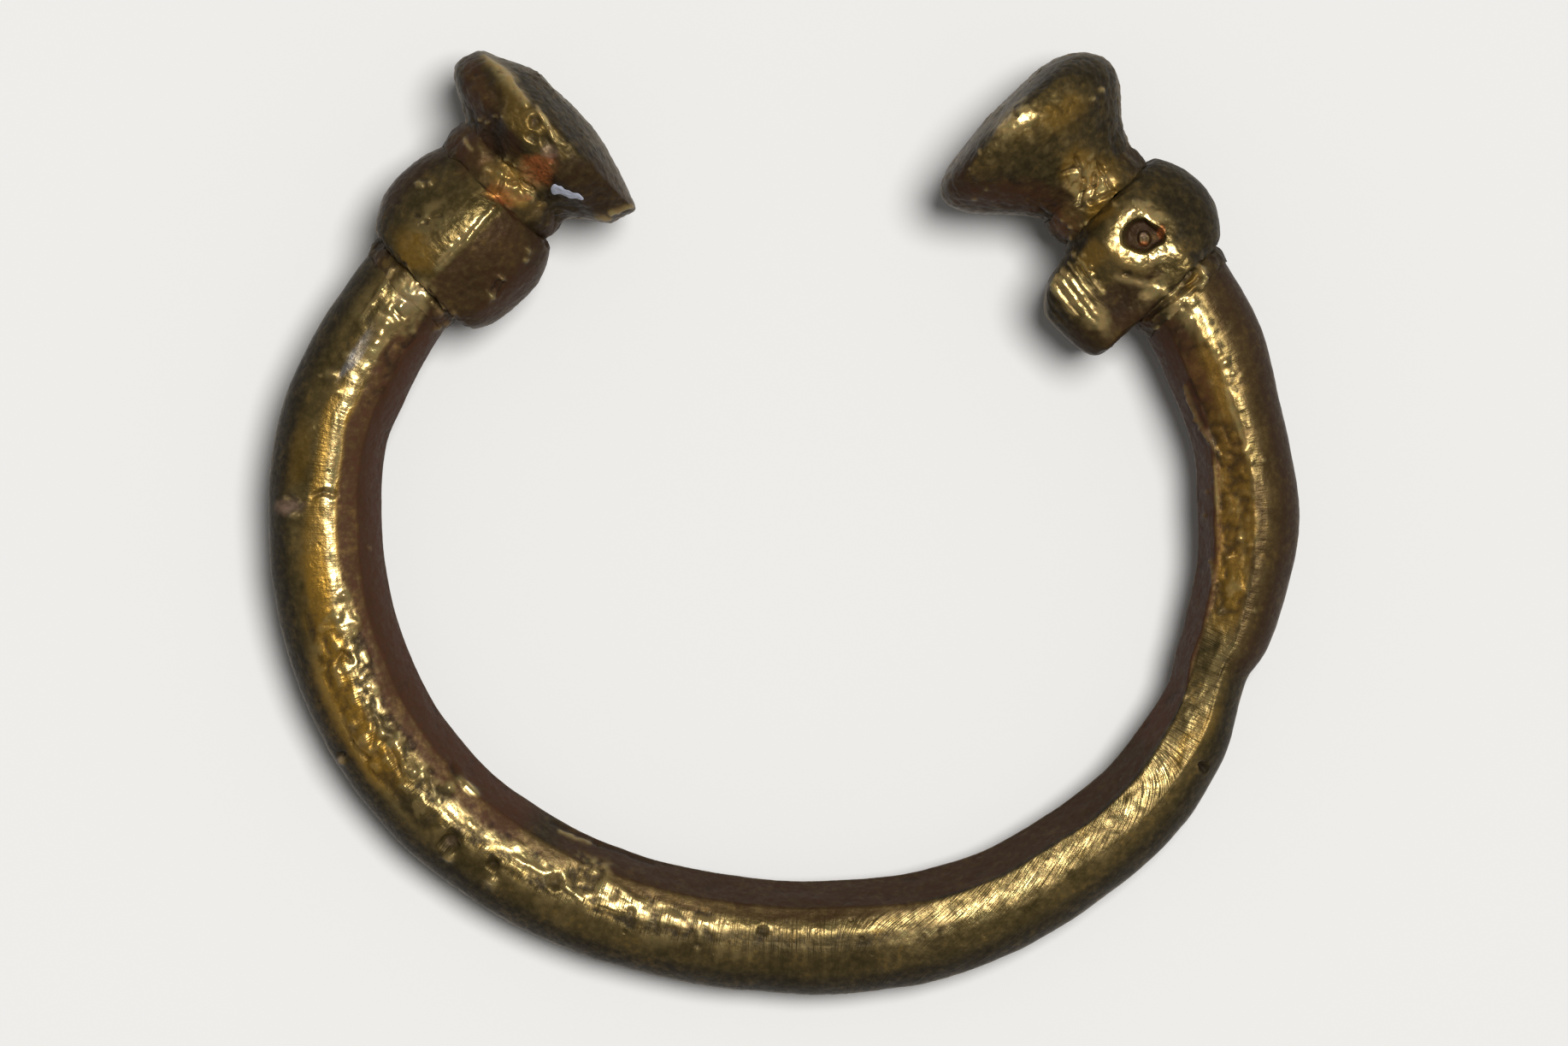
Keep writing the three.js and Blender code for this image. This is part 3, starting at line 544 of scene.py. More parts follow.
class RingFinish(bpy.types.PropertyGroup):
    """Colours and surface of the ring."""

    olive: colour("Olive patina", 0.074, 0.053, 0.016, "Patina over most of the ring")
    gold: colour("Rubbed metal", 0.66, 0.45, 0.18, "Metal where the patina is rubbed through")
    film: colour("Green film", 0.4, 0.4, 0.17, "Thin greenish film on the rubbed metal")
    amber: colour("Amber stain", 0.4, 0.215, 0.03, "Ochre stains on the patina")
    umber: colour("Umber tarnish", 0.066, 0.0245, 0.0115, "Dull brown tarnish inside the hoop")
    # Painted shade: this dark colour goes on the steep sides and on places that turn away from the
    # light, as well as on real dark patina.
    shade_and_tarnish: colour("Dark tarnish", 0.015, 0.0105, 0.0045, "Dark patina on the steep sides")
    copper: colour("Cuprite", 0.4, 0.12, 0.035, "Red copper oxide in the necks")
    # Painted sheen: a cool bluish colour laid as a highlight near the left knob.
    painted_sheen: colour("Steel sheen", 0.3, 0.32, 0.38, "Cool sheen near the left knob")
    pale: colour("Pale deposit", 0.42, 0.27, 0.19, "Pale deposit in the pits")
    soil: colour("Soil", 0.016, 0.01, 0.006, "Dirt in the hollows")
    crust: colour("Crust", 0.47, 0.49, 0.58, "Pale lavender crust on the left flare")
    mottle_size: length("Mottle size", 0.8, "Size of the patches in the patina")
    grain_height: length("Grain height", 0.006, "Height of the cast grain")
    lump_height: length("Lump height", 0.09, "Height of the lumps on the crest")
    file_mark_depth: length("File mark depth", 0.008, "Depth of the file marks")
    dent_depth: length("Dent depth", 0.025, "Depth of the shallow hammered dents")
    # This share also sets the painted glints of the crest mask.
    rubbed_share: share("Rubbed share", 0.88, "How far the high places are rubbed bright")
    soiled_share: share("Soiled share", 0.8, "How much dirt the hollows hold")


class RingStudio(bpy.types.PropertyGroup):
    """Floor, lights and camera."""

    floor_colour: colour("Floor colour", 0.8, 0.79, 0.77, "Colour of the floor and backdrop")
    key_strength: strength("Key strength", 3.0, "Light that the soft key lamp throws on the floor")
    key_spread: turn("Key spread", 22, "Width of the soft key lamp as the ring sees it")
    key_tilt: turn("Key tilt", 14, "How far the key lamp stands off the camera's line")
    key_turn: turn("Key turn", 121, "Side on which the key lamp stands off")
    room_strength: strength("Room strength", 0.15, "Even light of the room")
    camera_height: length("Camera height", 300, "Height of the camera above the floor")
    focus_height: length("Focus height", 2, "Height at which the picture has its scale")


# Smooth tables and noise

LATTICE_SHIFT = 1000.0
NOISE_GAIN = 1.4
LAYER_RATIO = 2.03
LAYER_SEED_STEP = 17


def smooth_step(value):
    """Smooth rise from 0 to 1 as the value does."""
    clipped = np.clip(value, 0, 1)
    return clipped * clipped * (3 - 2 * clipped)


def rising(values, start, span):
    """Smooth rise from 0 at the start to 1 a span further on."""
    return smooth_step((values - start) / span)


def falling(values, end, span):
    """Smooth fall from 1 a span before the end to 0 at the end."""
    return smooth_step((end - values) / span)


def band(values, first, last, feather):
    """Share by which values lie between two limits, with soft edges."""
    return smooth_step((values - first) / feather + 0.5) * smooth_step((last - values) / feather + 0.5)


def along(table, places):
    """Smooth rows of a table at places along its first column."""
    places = np.clip(places, table[0, 0], table[-1, 0])
    last = len(table) - 1
    row = np.clip(np.searchsorted(table[:, 0], places) - 1, 0, last - 1)
    before = table[np.maximum(row - 1, 0)]
    start = table[row]
    end = table[row + 1]
    after = table[np.minimum(row + 2, last)]
    span = end[:, :1] - start[:, :1]
    part = (places[:, None] - start[:, :1]) / span
    start_slope = (end - before) / (end[:, :1] - before[:, :1])
    end_slope = (after - start) / (after[:, :1] - start[:, :1])
    rise = end - start
    bend_in = start_slope * span - rise
    bend_out = rise - end_slope * span
    return start + rise * part + part * (1 - part) * (bend_in * (1 - part) + bend_out * part)


def lattice_noise(points, cell, seed):
    """Smooth noise from about -1 to 1 that changes over one cell, the same on every run."""
    scaled = points / cell + LATTICE_SHIFT
    base = np.floor(scaled).astype(np.int64)
    part = scaled - base
    blend = part * part * part * (part * (part * 6 - 15) + 10)
    total = np.zeros(points.shape[:-1])
    for corner in range(8):
        step = np.array([corner & 1, (corner >> 1) & 1, (corner >> 2) & 1])
        index = base + step
        mixed = index[..., 0] * 73856093 ^ index[..., 1] * 19349663 ^ index[..., 2] * 83492791
        mixed = (mixed ^ (seed * 2654435761)) & 0xFFFFFFFF
        mixed = ((mixed ^ (mixed >> 15)) * 2246822519) & 0xFFFFFFFF
        mixed = ((mixed ^ (mixed >> 13)) * 3266489917) & 0xFFFFFFFF
        mixed = mixed ^ (mixed >> 16)
        slope = np.stack(
            [(mixed & 0x3FF) / 511.5 - 1, ((mixed >> 10) & 0x3FF) / 511.5 - 1,
             ((mixed >> 20) & 0x3FF) / 511.5 - 1],
            axis=-1,
        )
        weight = np.prod(np.where(step, blend, 1 - blend), axis=-1)
        total += weight * np.sum(slope * (part - step), axis=-1)
    return total * NOISE_GAIN


def noise(points, name, layers=1, falloff=0.55, more_seed=0):
    """Noise of that name, with finer layers added, each of them lower than the last."""
    cell, seed = NOISES[name]
    total = np.zeros(points.shape[:-1])
    height = 1.0
    for layer in range(layers):
        layer_seed = seed + more_seed + LAYER_SEED_STEP * layer
        total += height * lattice_noise(points, cell / LAYER_RATIO**layer, layer_seed)
        height *= falloff
    return total


# Placing


def unit(vectors):
    """The vectors at length one."""
    lengths = np.linalg.norm(vectors, axis=-1, keepdims=True)
    return vectors / np.maximum(lengths, 1e-12)


def flat_direction(degrees):
    """Unit vectors in the ring's plane."""
    around = np.radians(degrees)
    return np.stack([np.cos(around), np.sin(around), np.zeros_like(around)], axis=-1)


def to_rest(sizes, points):
    """Points in the ring's own plane, leant and lifted to where the ring rests."""
    lean = sizes.rest_lean
    turned = np.array([
        [1, 0, 0],
        [0, math.cos(lean), -math.sin(lean)],
        [0, math.sin(lean), math.cos(lean)],
    ])
    middle = np.array([sizes.ring_middle_x, sizes.ring_middle_y, sizes.ring_middle_z]) / MM
    return points @ turned.T + middle


def from_photo(sizes, across, down):
    """Place above the floor, in millimetres, of a place on the photograph."""
    x = (across - HOLE_ACROSS) / PHOTO_PIXELS_PER_MM + sizes.ring_middle_x / MM
    y = (HOLE_DOWN - down) / PHOTO_PIXELS_PER_MM + sizes.ring_middle_y / MM
    return x, y


# The bar's centre line, its direction and its section

LEFT_END_ANGLE = 149.5
RIGHT_END_ANGLE = 388.0
LEFT_AXIS_TURN = 44.2
RIGHT_AXIS_TURN = 133.6
ENDS = {
    "left": (LEFT_END_ANGLE, LEFT_AXIS_TURN),
    "right": (RIGHT_END_ANGLE, RIGHT_AXIS_TURN),
}
END_TURN_SPAN = 14.0
HALF_STEP_TURN = 0.5
FIRST_EDGE_WANDER = 4
SECOND_EDGE_WANDER = 3


def hoop_middle_line(sizes, angles):
    """Centre line of the bar at directions from the middle of the hole."""
    radius = (sizes.finger_bore + sizes.hoop_thickness) / 2 / MM
    distance = radius * along(HOOP_STATION_SHARES, angles)[:, MIDDLE]
    return flat_direction(angles) * distance[:, None]


def hoop_direction(sizes, angles):
    """Direction of the bar, turned onto the axes of the knobs at its two ends."""
    ahead = hoop_middle_line(sizes, np.minimum(angles + HALF_STEP_TURN, RIGHT_END_ANGLE))
    behind = hoop_middle_line(sizes, np.maximum(angles - HALF_STEP_TURN, LEFT_END_ANGLE))
    free = unit(ahead - behind)
    left_hold = 1 - smooth_step((angles - LEFT_END_ANGLE) / END_TURN_SPAN)
    right_hold = 1 - smooth_step((RIGHT_END_ANGLE - angles) / END_TURN_SPAN)
    left_axis = -flat_direction(LEFT_AXIS_TURN)
    right_axis = flat_direction(RIGHT_AXIS_TURN)
    free = free + (left_axis - free) * left_hold[:, None]
    free = free + (right_axis - free) * right_hold[:, None]
    return unit(free)


def section_reach(turns, flatness, first_edge, second_edge):
    """Reach of the section as a share of the bar's half size: round outside and filed inside."""
    across = np.abs(turns)
    inner = across >= second_edge
    low = np.where(inner, second_edge, first_edge)
    high = np.where(inner, 180.0, second_edge)
    half_span = np.radians((high - low) / 2)
    from_middle = np.radians(across - (high + low) / 2)
    filed = 1 - flatness * (1 - np.cos(half_span) / np.cos(from_middle))
    return np.where(across < first_edge, 1.0, filed)


def hoop_grid(sizes, angles, turns):
    """Points of the bar's surface, a row for each direction and a column for each turn."""
    rows = along(HOOP_STATION_SHARES, angles)[:, None, :]
    centre = hoop_middle_line(sizes, angles)
    direction = hoop_direction(sizes, angles)
    outwards = np.stack([direction[:, 1], -direction[:, 0], np.zeros(len(angles))], axis=-1)
    wander = noise(centre, "hoop edges")[:, None]
    reach = section_reach(
        turns[None, :],
        rows[..., FLATNESS],
        rows[..., FIRST_EDGE] + FIRST_EDGE_WANDER * wander,
        rows[..., SECOND_EDGE] + SECOND_EDGE_WANDER * wander,
    )
    half_thickness = sizes.hoop_thickness / 2 / MM * rows[..., THICKNESS]
    half_height = sizes.hoop_height / 2 / MM * rows[..., HEIGHT]
    around = np.radians(turns)[None, :]
    sideways = half_thickness * reach * np.cos(around)
    grid = centre[:, None, :] + outwards[:, None, :] * sideways[..., None]
    grid[..., 2] += half_height * reach * np.sin(around)
    return grid, centre


def from_end(sizes, side_name, points):
    """Points given along an end's axis, sideways and upwards, in the ring's plane."""
    angle, axis_turn = ENDS[side_name]
    axis = flat_direction(axis_turn)
    sideways = np.array([-axis[1], axis[0], 0.0])
    turned = points[..., :1] * axis + points[..., 1:2] * sideways
    turned = turned + hoop_middle_line(sizes, np.array([angle]))[0]
    turned[..., 2] += points[..., 2]
    return turned


def end_size(sizes, side_name, name):
    """Size, in millimetres, of a piece on one end of the ring."""
    return getattr(sizes, side_name + "_" + name) / MM


# The knobs

EDGE_POWER = 24
LEFT_KNOB_BLOCK_SHARE = 1.75
RIGHT_KNOB_BLOCK_SHARE = 1.5
SNOUT_BEVEL_SHARE = 0.55
SNOUT_BEVEL_TURN = 42
SNOUT_FLARE_CORNER_TURN = 35
SNOUT_HOOP_CORNER_TURN = 132


def faceted_reach(directions, half_length, plus_y, minus_y, half_height, facet_shares):
    """Reach of a rounded block with flat facets in each direction from its middle."""
    x, y, z = directions[..., 0], directions[..., 1], directions[..., 2]
    sideways = np.where(y > 0, plus_y, minus_y)
    total = np.sqrt((x / half_length) ** 2 + (y / sideways) ** 2 + (z / half_height) ** 2)
    total = total**EDGE_POWER
    for around, lean, depth_share in facet_shares:
        normal_x = math.sin(math.radians(lean))
        normal_y = math.cos(math.radians(lean)) * math.cos(math.radians(around))
        normal_z = math.cos(math.radians(lean)) * math.sin(math.radians(around))
        side = plus_y if normal_y > 0 else minus_y
        support = math.hypot(normal_x * half_length, normal_y * side, normal_z * half_height)
        facing = normal_x * x + normal_y * y + np.abs(normal_z * z)
        total = total + (np.maximum(facing, 0) / (support * depth_share)) ** EDGE_POWER
    return total ** (-1 / EDGE_POWER)


def left_knob_reach(sizes, directions):
    """Reach of the left knob in each direction from its middle."""
    return faceted_reach(
        directions,
        sizes.left_knob_length / 2 / MM * LEFT_KNOB_BLOCK_SHARE,
        sizes.left_knob_out / MM,
        sizes.left_knob_in / MM,
        sizes.left_knob_half_height / MM,
        LEFT_KNOB_FACET_SHARES,
    )


def snout_reach(sizes, directions):
    """Reach of the squared snout in each direction from the right knob's middle."""
    x, y, z = directions[..., 0], directions[..., 1], np.abs(directions[..., 2])
    snout_length = sizes.snout_length / MM
    root = sizes.snout_root_half_height / MM
    end = sizes.snout_end_half_height / MM
    slope = math.atan2(root - end, snout_length)
    bevel_y = math.cos(math.radians(SNOUT_BEVEL_TURN))
    bevel_z = math.sin(math.radians(SNOUT_BEVEL_TURN))
    bevel_reach = snout_length * bevel_y + end * SNOUT_BEVEL_SHARE * bevel_z
    flare_corner = flat_direction(SNOUT_FLARE_CORNER_TURN)
    hoop_corner = flat_direction(SNOUT_HOOP_CORNER_TURN)
    sides = [
        y / snout_length,
        x / (sizes.snout_towards_flare / MM),
        -x / (sizes.snout_towards_hoop / MM),
        (z * math.cos(slope) + y * math.sin(slope)) / (root * math.cos(slope)),
        (z * bevel_z + y * bevel_y) / bevel_reach,
        (x * flare_corner[0] + y * flare_corner[1]) / (sizes.snout_flare_corner / MM),
        (x * hoop_corner[0] + y * hoop_corner[1]) / (sizes.snout_hoop_corner / MM),
        -y / (sizes.snout_root_back / MM),
    ]
    total = sum(np.maximum(side, 0) ** EDGE_POWER for side in sides)
    return total ** (-1 / EDGE_POWER)


def right_knob_reach(sizes, directions):
    """Reach of the right knob, the further of its body and its snout."""
    body = faceted_reach(
        directions,
        sizes.right_knob_length / 2 / MM * RIGHT_KNOB_BLOCK_SHARE,
        sizes.right_knob_in / MM,
        sizes.right_knob_out / MM,
        sizes.right_knob_half_height / MM,
        RIGHT_KNOB_FACET_SHARES,
    )
    snout = snout_reach(sizes, directions)
    return (body**EDGE_POWER + snout**EDGE_POWER) ** (1 / EDGE_POWER)


# Grids of points and their surface


def grid_normals(grid, inside):
    """Unit normals of a grid that wraps round its columns, facing away from the inside points."""
    round_step = np.roll(grid, -1, axis=1) - np.roll(grid, 1, axis=1)
    along_step = np.gradient(grid, axis=0)
    normals = unit(np.cross(round_step, along_step))
    outward = np.sum(normals * (grid - inside), axis=-1)
    sign = np.where(np.median(outward) < 0, -1.0, 1.0)
    return normals * sign


def grid_blur(values, reach):
    """Values averaged over a square of cells, wrapping round the columns."""
    total = values
    for _ in range(2):
        rows = np.pad(total, ((reach, reach), (0, 0)), mode="edge")
        summed = np.cumsum(np.pad(rows, ((1, 0), (0, 0))), axis=0)
        width = 2 * reach + 1
        total = (summed[width:] - summed[:-width]) / width
        columns = np.pad(total, ((0, 0), (reach, reach)), mode="wrap")
        summed = np.cumsum(np.pad(columns, ((0, 0), (1, 0))), axis=1)
        total = (summed[:, width:] - summed[:, :-width]) / width
    return total


def wrapped_quads(rows, columns, row_steps):
    """Faces of a grid that wraps round its columns, and round its rows at a step for every row."""
    row = np.arange(row_steps)[:, None] * columns
    next_row = (row + columns) % (rows * columns)
    column = np.arange(columns)
    after = (column + 1) % columns
    corners = [row + column, row + after, next_row + after, next_row + column]
    return np.stack(corners, axis=-1).reshape(-1, 4)


def faces_inwards(points, quads):
    """True where the faces of a closed grid look into it."""
    corners = points[quads]
    volume = np.sum(corners[:, 0] * np.cross(corners[:, 1], corners[:, 2]))
    volume += np.sum(corners[:, 0] * np.cross(corners[:, 2], corners[:, 3]))
    return volume < 0


def capped_grid(grid):
    """Points and faces of a grid that wraps round its columns, with a cap on each end."""
    rows, columns = grid.shape[:2]
    points = np.concatenate([grid.reshape(-1, 3), [grid[0].mean(axis=0), grid[-1].mean(axis=0)]])
    quads = wrapped_quads(rows, columns, rows - 1)
    ring = np.arange(columns)
    after = (ring + 1) % columns
    last_row = (rows - 1) * columns
    start_middle = np.full(columns, rows * columns)
    start_cap = np.stack([after, ring, start_middle], axis=-1)
    end_cap = np.stack([last_row + ring, last_row + after, start_middle + 1], axis=-1)
    triangles = np.concatenate([start_cap, end_cap])
    if faces_inwards(points, quads):
        quads = quads[:, ::-1]
        triangles = triangles[:, ::-1]
    return points, quads.tolist() + triangles.tolist()


def ring_tube(grid):
    """Points and faces of a grid that wraps round its rows and round its columns."""
    rows, columns = grid.shape[:2]
    points = grid.reshape(-1, 3)
    quads = wrapped_quads(rows, columns, rows)
    if faces_inwards(points, quads):
        quads = quads[:, ::-1]
    return points, quads.tolist()


def add_mesh(name, points, faces):
    """Smooth object from points in metres."""
    mesh = bpy.data.meshes.new(name)
    mesh.from_pydata(points.tolist(), [], faces)
    mesh.polygons.foreach_set("use_smooth", [True] * len(faces))
    mesh.update()
    made = bpy.data.objects.new(name, mesh)
    bpy.context.scene.collection.objects.link(made)
    return made


def add_piece(node, material, points, faces, masks, lay):
    """Dressed piece that stands for a node of the frame, with its masks as point attributes."""
    made = add_mesh(node + "_dressed", points * MM, faces)
    for name, values in masks.items():
        flat = np.zeros(len(points), np.float32)
        flat[:values.size] = np.clip(values, 0, 1).reshape(-1)
        made.data.attributes.new(name, "FLOAT", "POINT").data.foreach_set("value", flat)
    flat = np.zeros((len(points), 3), np.float32)
    flat[:lay.size // 3] = lay.reshape(-1, 3)
    made.data.attributes.new("lay", "FLOAT_VECTOR", "POINT").data.foreach_set("vector", flat.reshape(-1))
    made.data.update()
    made.data.materials.append(material)
    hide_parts(node)
    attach(made, BODY)


# Surface forms and finish that the pieces take

FACING_START = 0.05
FACING_SPAN = 0.35
STEEP_SPAN = 0.34
UPRIGHT_LIMIT = 0.35
UPRIGHT_SPAN = 0.4
MARK_RAGGEDNESS = 0.06
PIT_EDGE = 1.25
PIT_RIM_SHARE = 0.1
PIT_RIM_PLACE = 1.2
PIT_RIM_WIDTH = 0.3
BEAD_STEEPNESS = 1.3
BEAD_RUBBING = 0.5
BURR_SHARE = 0.15
BURR_PLACE = 1.7
BURR_WIDTH = 0.5
GROOVE_DIRT = 0.8
RIDGE_RUBBING = 0.6
STAIN_RAGGEDNESS = 0.45
STAIN_EDGE = 1.4
STAIN_FEATHER = 0.9


def seen_from_above(normals):
    """Share by which the surface faces up."""
    return rising(normals[..., 2], FACING_START, FACING_SPAN)


def steep_sides(normals):
    """Share by which the surface leans away from the top."""
    return falling(normals[..., 2], 1.0, STEEP_SPAN)


def mark_lift(sizes, grid, normals):
    """Height that pits, beads and grooves add to the surface, and where they are."""
    facing = seen_from_above(normals)
    lift = np.zeros(grid.shape[:-1])
    hollow = np.zeros(grid.shape[:-1])
    raised = np.zeros(grid.shape[:-1])
    ragged_x = grid[..., 0] + MARK_RAGGEDNESS * noise(grid, "marks across", 2)
    ragged_y = grid[..., 1] + MARK_RAGGEDNESS * noise(grid, "marks down", 2)
    for across, down, radius, depth in PITS:
        x, y = from_photo(sizes, across, down)
        away = np.hypot(ragged_x - x, ragged_y - y) / radius
        bowl = smooth_step(PIT_EDGE - away) * facing
        rim = np.exp(-(((away - PIT_RIM_PLACE) / PIT_RIM_WIDTH) ** 2)) * facing
        lift += PIT_RIM_SHARE * depth * rim - depth * bowl
        hollow = np.maximum(hollow, bowl)
    for across, down, radius, height in BEADS:
        x, y = from_photo(sizes, across, down)
        away = np.hypot(ragged_x - x, ragged_y - y) / radius
        dome = np.exp(-BEAD_STEEPNESS * away**2) * facing
        lift += height * dome
        raised = np.maximum(raised, BEAD_RUBBING * dome)
    for from_across, from_down, to_across, to_down, half_width, depth in GROOVES:
        start = np.array(from_photo(sizes, from_across, from_down))
        span = np.array(from_photo(sizes, to_across, to_down)) - start
        from_x = 0.5 * (grid[..., 0] + ragged_x) - start[0]
        from_y = 0.5 * (grid[..., 1] + ragged_y) - start[1]
        part = np.clip((from_x * span[0] + from_y * span[1]) / (span @ span), 0, 1)
        away = np.hypot(from_x - part * span[0], from_y - part * span[1]) / half_width
        cut = np.exp(-(away**2)) * facing
        lift -= depth * cut
        if depth > 0:
            burr = np.exp(-(((away - BURR_PLACE) / BURR_WIDTH) ** 2)) * facing
            lift += BURR_SHARE * depth * burr
            hollow = np.maximum(hollow, GROOVE_DIRT * cut)
        else:
            raised = np.maximum(raised, RIDGE_RUBBING * cut)
    return lift, hollow, raised


def stain_masks(sizes, grid, normals):
    """Masks of the stains seen from above."""
    facing = seen_from_above(normals)
    masks = {name: np.zeros(grid.shape[:-1]) for name in STAINS}
    ragged = STAIN_RAGGEDNESS * noise(grid, "stain edges", 3)
    for name, stains in STAINS.items():
        for across, down, half_length, half_width, degrees, stain_strength in stains:
            x, y = from_photo(sizes, across, down)
            cos, sin, _ = flat_direction(degrees)
            from_x, from_y = grid[..., 0] - x, grid[..., 1] - y
            lengthwise = (from_x * cos + from_y * sin) / half_length
            sideways = (from_y * cos - from_x * sin) / half_width
            away = np.hypot(lengthwise, sideways) + ragged
            stain = stain_strength * falling(away, STAIN_EDGE, STAIN_FEATHER) * facing
            masks[name] = np.maximum(masks[name], stain)
    return masks


CREST_CLEANING = 0.8
DENT_MIDDLE = 0.45
GRAIN_SHARE = 1.5
FINE_GRAIN_FALLOFF = 0.6
PLAIN_COARSENESS = 0.6
CHUNKY_COARSENESS = 0.6
CREST_SMOOTHNESS = 0.35
SMALL_LUMP_SHARE = 0.5
LUMP_MIDDLE = 0.7
SURFACE_SINK = 0.008
STROKE_STRETCH = np.array([1.0, 0.06, 1.0])
FINE_MARK_SHARE = 0.6
PROUD_HEIGHT = 0.016
SUNK_DEPTH = 0.02
UPRIGHT_LIGHTNESS = 0.65
STEEP_SHELTER = 0.9
UMBER_SHELTER = 0.85
SHADE_AND_TARNISH_SHELTER = 0.7
CHUNKY_SHELTER = 0.85
PLAIN_RUBBING = 0.4
RUBBING_MIDDLE = 0.7
RUBBING_UNEVENNESS = 1.2


def dressed_masks(sizes, grid, normals, zones):
    """Masks of the stains, painted shade and painted glints, and of the piece's own zones, with less
    brown and dark under the rubbed crest and the painted glints.
    """
    masks = stain_masks(sizes, grid, normals)
    masks["filed"] = np.zeros(grid.shape[:-1])
    masks["grainy"] = np.zeros(grid.shape[:-1])
    cleaned = 1 - CREST_CLEANING * masks["crest_and_glint"]
    for name, values in zones.items():
        masks[name] = np.maximum(masks[name], values)
    for name in ("umber", "shade_and_tarnish"):
        masks[name] = masks[name] * cleaned
    return masks


def surface_lift(finish, grid, lay, masks):
    """Height that dents, cast grain, lumps and file marks add to the surface."""
    lift = finish.dent_depth / MM * (noise(grid, "dents", 2) - DENT_MIDDLE)
    grain = GRAIN_SHARE * noise(grid, "grain") + noise(grid, "fine grain", 2, FINE_GRAIN_FALLOFF)
    coarse = PLAIN_COARSENESS + masks["grainy"] + CHUNKY_COARSENESS * masks["chunky"]
    coarse -= CREST_SMOOTHNESS * masks["crest_and_glint"]
    lift += finish.grain_height / MM * grain * coarse
    lumps = np.abs(noise(grid, "lumps")) + SMALL_LUMP_SHARE * np.abs(noise(grid, "small lumps"))
    lift += finish.lump_height / MM * (lumps - LUMP_MIDDLE) * masks["chunky"] - SURFACE_SINK
    lines = noise(lay * STROKE_STRETCH, "file marks")
    lines += FINE_MARK_SHARE * noise(lay * STROKE_STRETCH, "fine file marks")
    return lift + finish.file_mark_depth / MM * lines * masks["filed"]


def shade_rub_and_soil(finish, masks, grid, normals, proud, hollow, raised):
    """Adds painted shade as dark tarnish on the steep sides, rubbing on the high places, painted glints
    where the crest mask lies, and dirt in the hollows.
    """
    steep = steep_sides(normals)
    upright = falling(normals[..., 2], UPRIGHT_LIMIT, UPRIGHT_SPAN)
    # Painted shade: sides that lean away from the top get the dark tarnish colour, less where they stand
    # upright or face down.
    masks["shade_and_tarnish"] = np.maximum(masks["shade_and_tarnish"], steep * (1 - UPRIGHT_LIGHTNESS * upright))
    high_places = smooth_step(proud / PROUD_HEIGHT - 0.05) * (1 - STEEP_SHELTER * steep)
    high_places *= PLAIN_RUBBING + (1 - PLAIN_RUBBING) * masks["crest_and_glint"]
    high_places *= 1 - UMBER_SHELTER * masks["umber"]
    high_places *= 1 - SHADE_AND_TARNISH_SHELTER * masks["shade_and_tarnish"]
    patchy = smooth_step(noise(grid, "rubbing", 3) * RUBBING_UNEVENNESS + RUBBING_MIDDLE)
    crest_and_glint = masks["crest_and_glint"] * np.maximum(patchy, 2 * masks["crest_and_glint"] - 1)
    crest_and_glint *= 1 - CHUNKY_SHELTER * masks["chunky"] * smooth_step(0.4 - proud / SUNK_DEPTH)
    # The worn mask holds real rubbing on high places and beads, and the painted glints of the crest
    # mask.
    masks["worn"] = finish.rubbed_share * np.maximum(np.maximum(high_places, raised), crest_and_glint)
    masks["soiled"] = finish.soiled_share * np.maximum(smooth_step(-proud / SUNK_DEPTH - 0.1), hollow)


def dress(context, node, material, grid, inside, lay, zones, blur_reach=5, extra_lift=0.0):
    """Piece with its marks, lumps, stains and finish, standing for one node of the frame."""
    sizes = context.scene.ring_sizes
    finish = context.scene.ring_finish
    grid = to_rest(sizes, grid)
    normals = grid_normals(grid, to_rest(sizes, inside))
    masks = dressed_masks(sizes, grid, normals, zones)
    lift = surface_lift(finish, grid, lay, masks)
    marks, hollow, raised = mark_lift(sizes, grid, normals)
    grid = grid + normals * (lift + marks + extra_lift)[..., None]
    grid[..., 2] = np.maximum(grid[..., 2], 0)
    proud = lift - grid_blur(lift, blur_reach)
    shade_rub_and_soil(finish, masks, grid, normals, proud, hollow, raised)
    points, faces = capped_grid(grid)
    add_piece(node, material, points, faces, masks, lay)


# Shader nodes

BLACK = (0.0, 0.0, 0.0, 1.0)
PATINA_COLOURS = [
    "olive", "gold", "film", "amber", "umber", "shade_and_tarnish", "copper", "painted_sheen", "pale", "soil",
]
BARE_ROUGHNESS = 0.33
DULL_ROUGHNESS = 0.62
RUBBED_SMOOTHING = 0.22
SPECK_ROUGHNESS = 0.05
PATINA_METAL = 0.75
RUBBED_METAL = 0.95
PATINA_GLOSS = 0.1


def group_tree(name, inputs, outputs):
    """New shader node group: its tree, and the sockets that its inputs and outputs join inside."""
    tree = bpy.data.node_groups.new(name, "ShaderNodeTree")
    for socket_name, value in inputs.items():
        kind = "NodeSocketFloat" if isinstance(value, float) else "NodeSocketColor"
        socket = tree.interface.new_socket(name=socket_name, in_out="INPUT", socket_type=kind)
        socket.default_value = value
    for socket_name, kind in outputs.items():
        tree.interface.new_socket(name=socket_name, in_out="OUTPUT", socket_type=kind)
    start = tree.nodes.new("NodeGroupInput")
    end = tree.nodes.new("NodeGroupOutput")
    return tree, start.outputs, end.inputs


def attribute_node(tree, name):
    """Node that reads a point attribute of the mesh."""
    node = tree.nodes.new("ShaderNodeAttribute")
    node.attribute_name = name
    return node


def mask(tree, name):
    """Socket with a mask of the mesh."""
    return attribute_node(tree, name).outputs["Fac"]


def feed(tree, socket, value):
    """Links a socket into another one, or sets its value."""
    if isinstance(value, bpy.types.NodeSocket):
        tree.links.new(value, socket)
    else:
        socket.default_value = value


def maths(tree, operation, first, second=0.5, third=0.5):
    """Output of a Math node. Each input is a socket or a number."""
    node = tree.nodes.new("ShaderNodeMath")
    node.operation = operation
    for socket, value in zip(node.inputs, (first, second, third)):
        feed(tree, socket, value)
    return node.outputs[0]


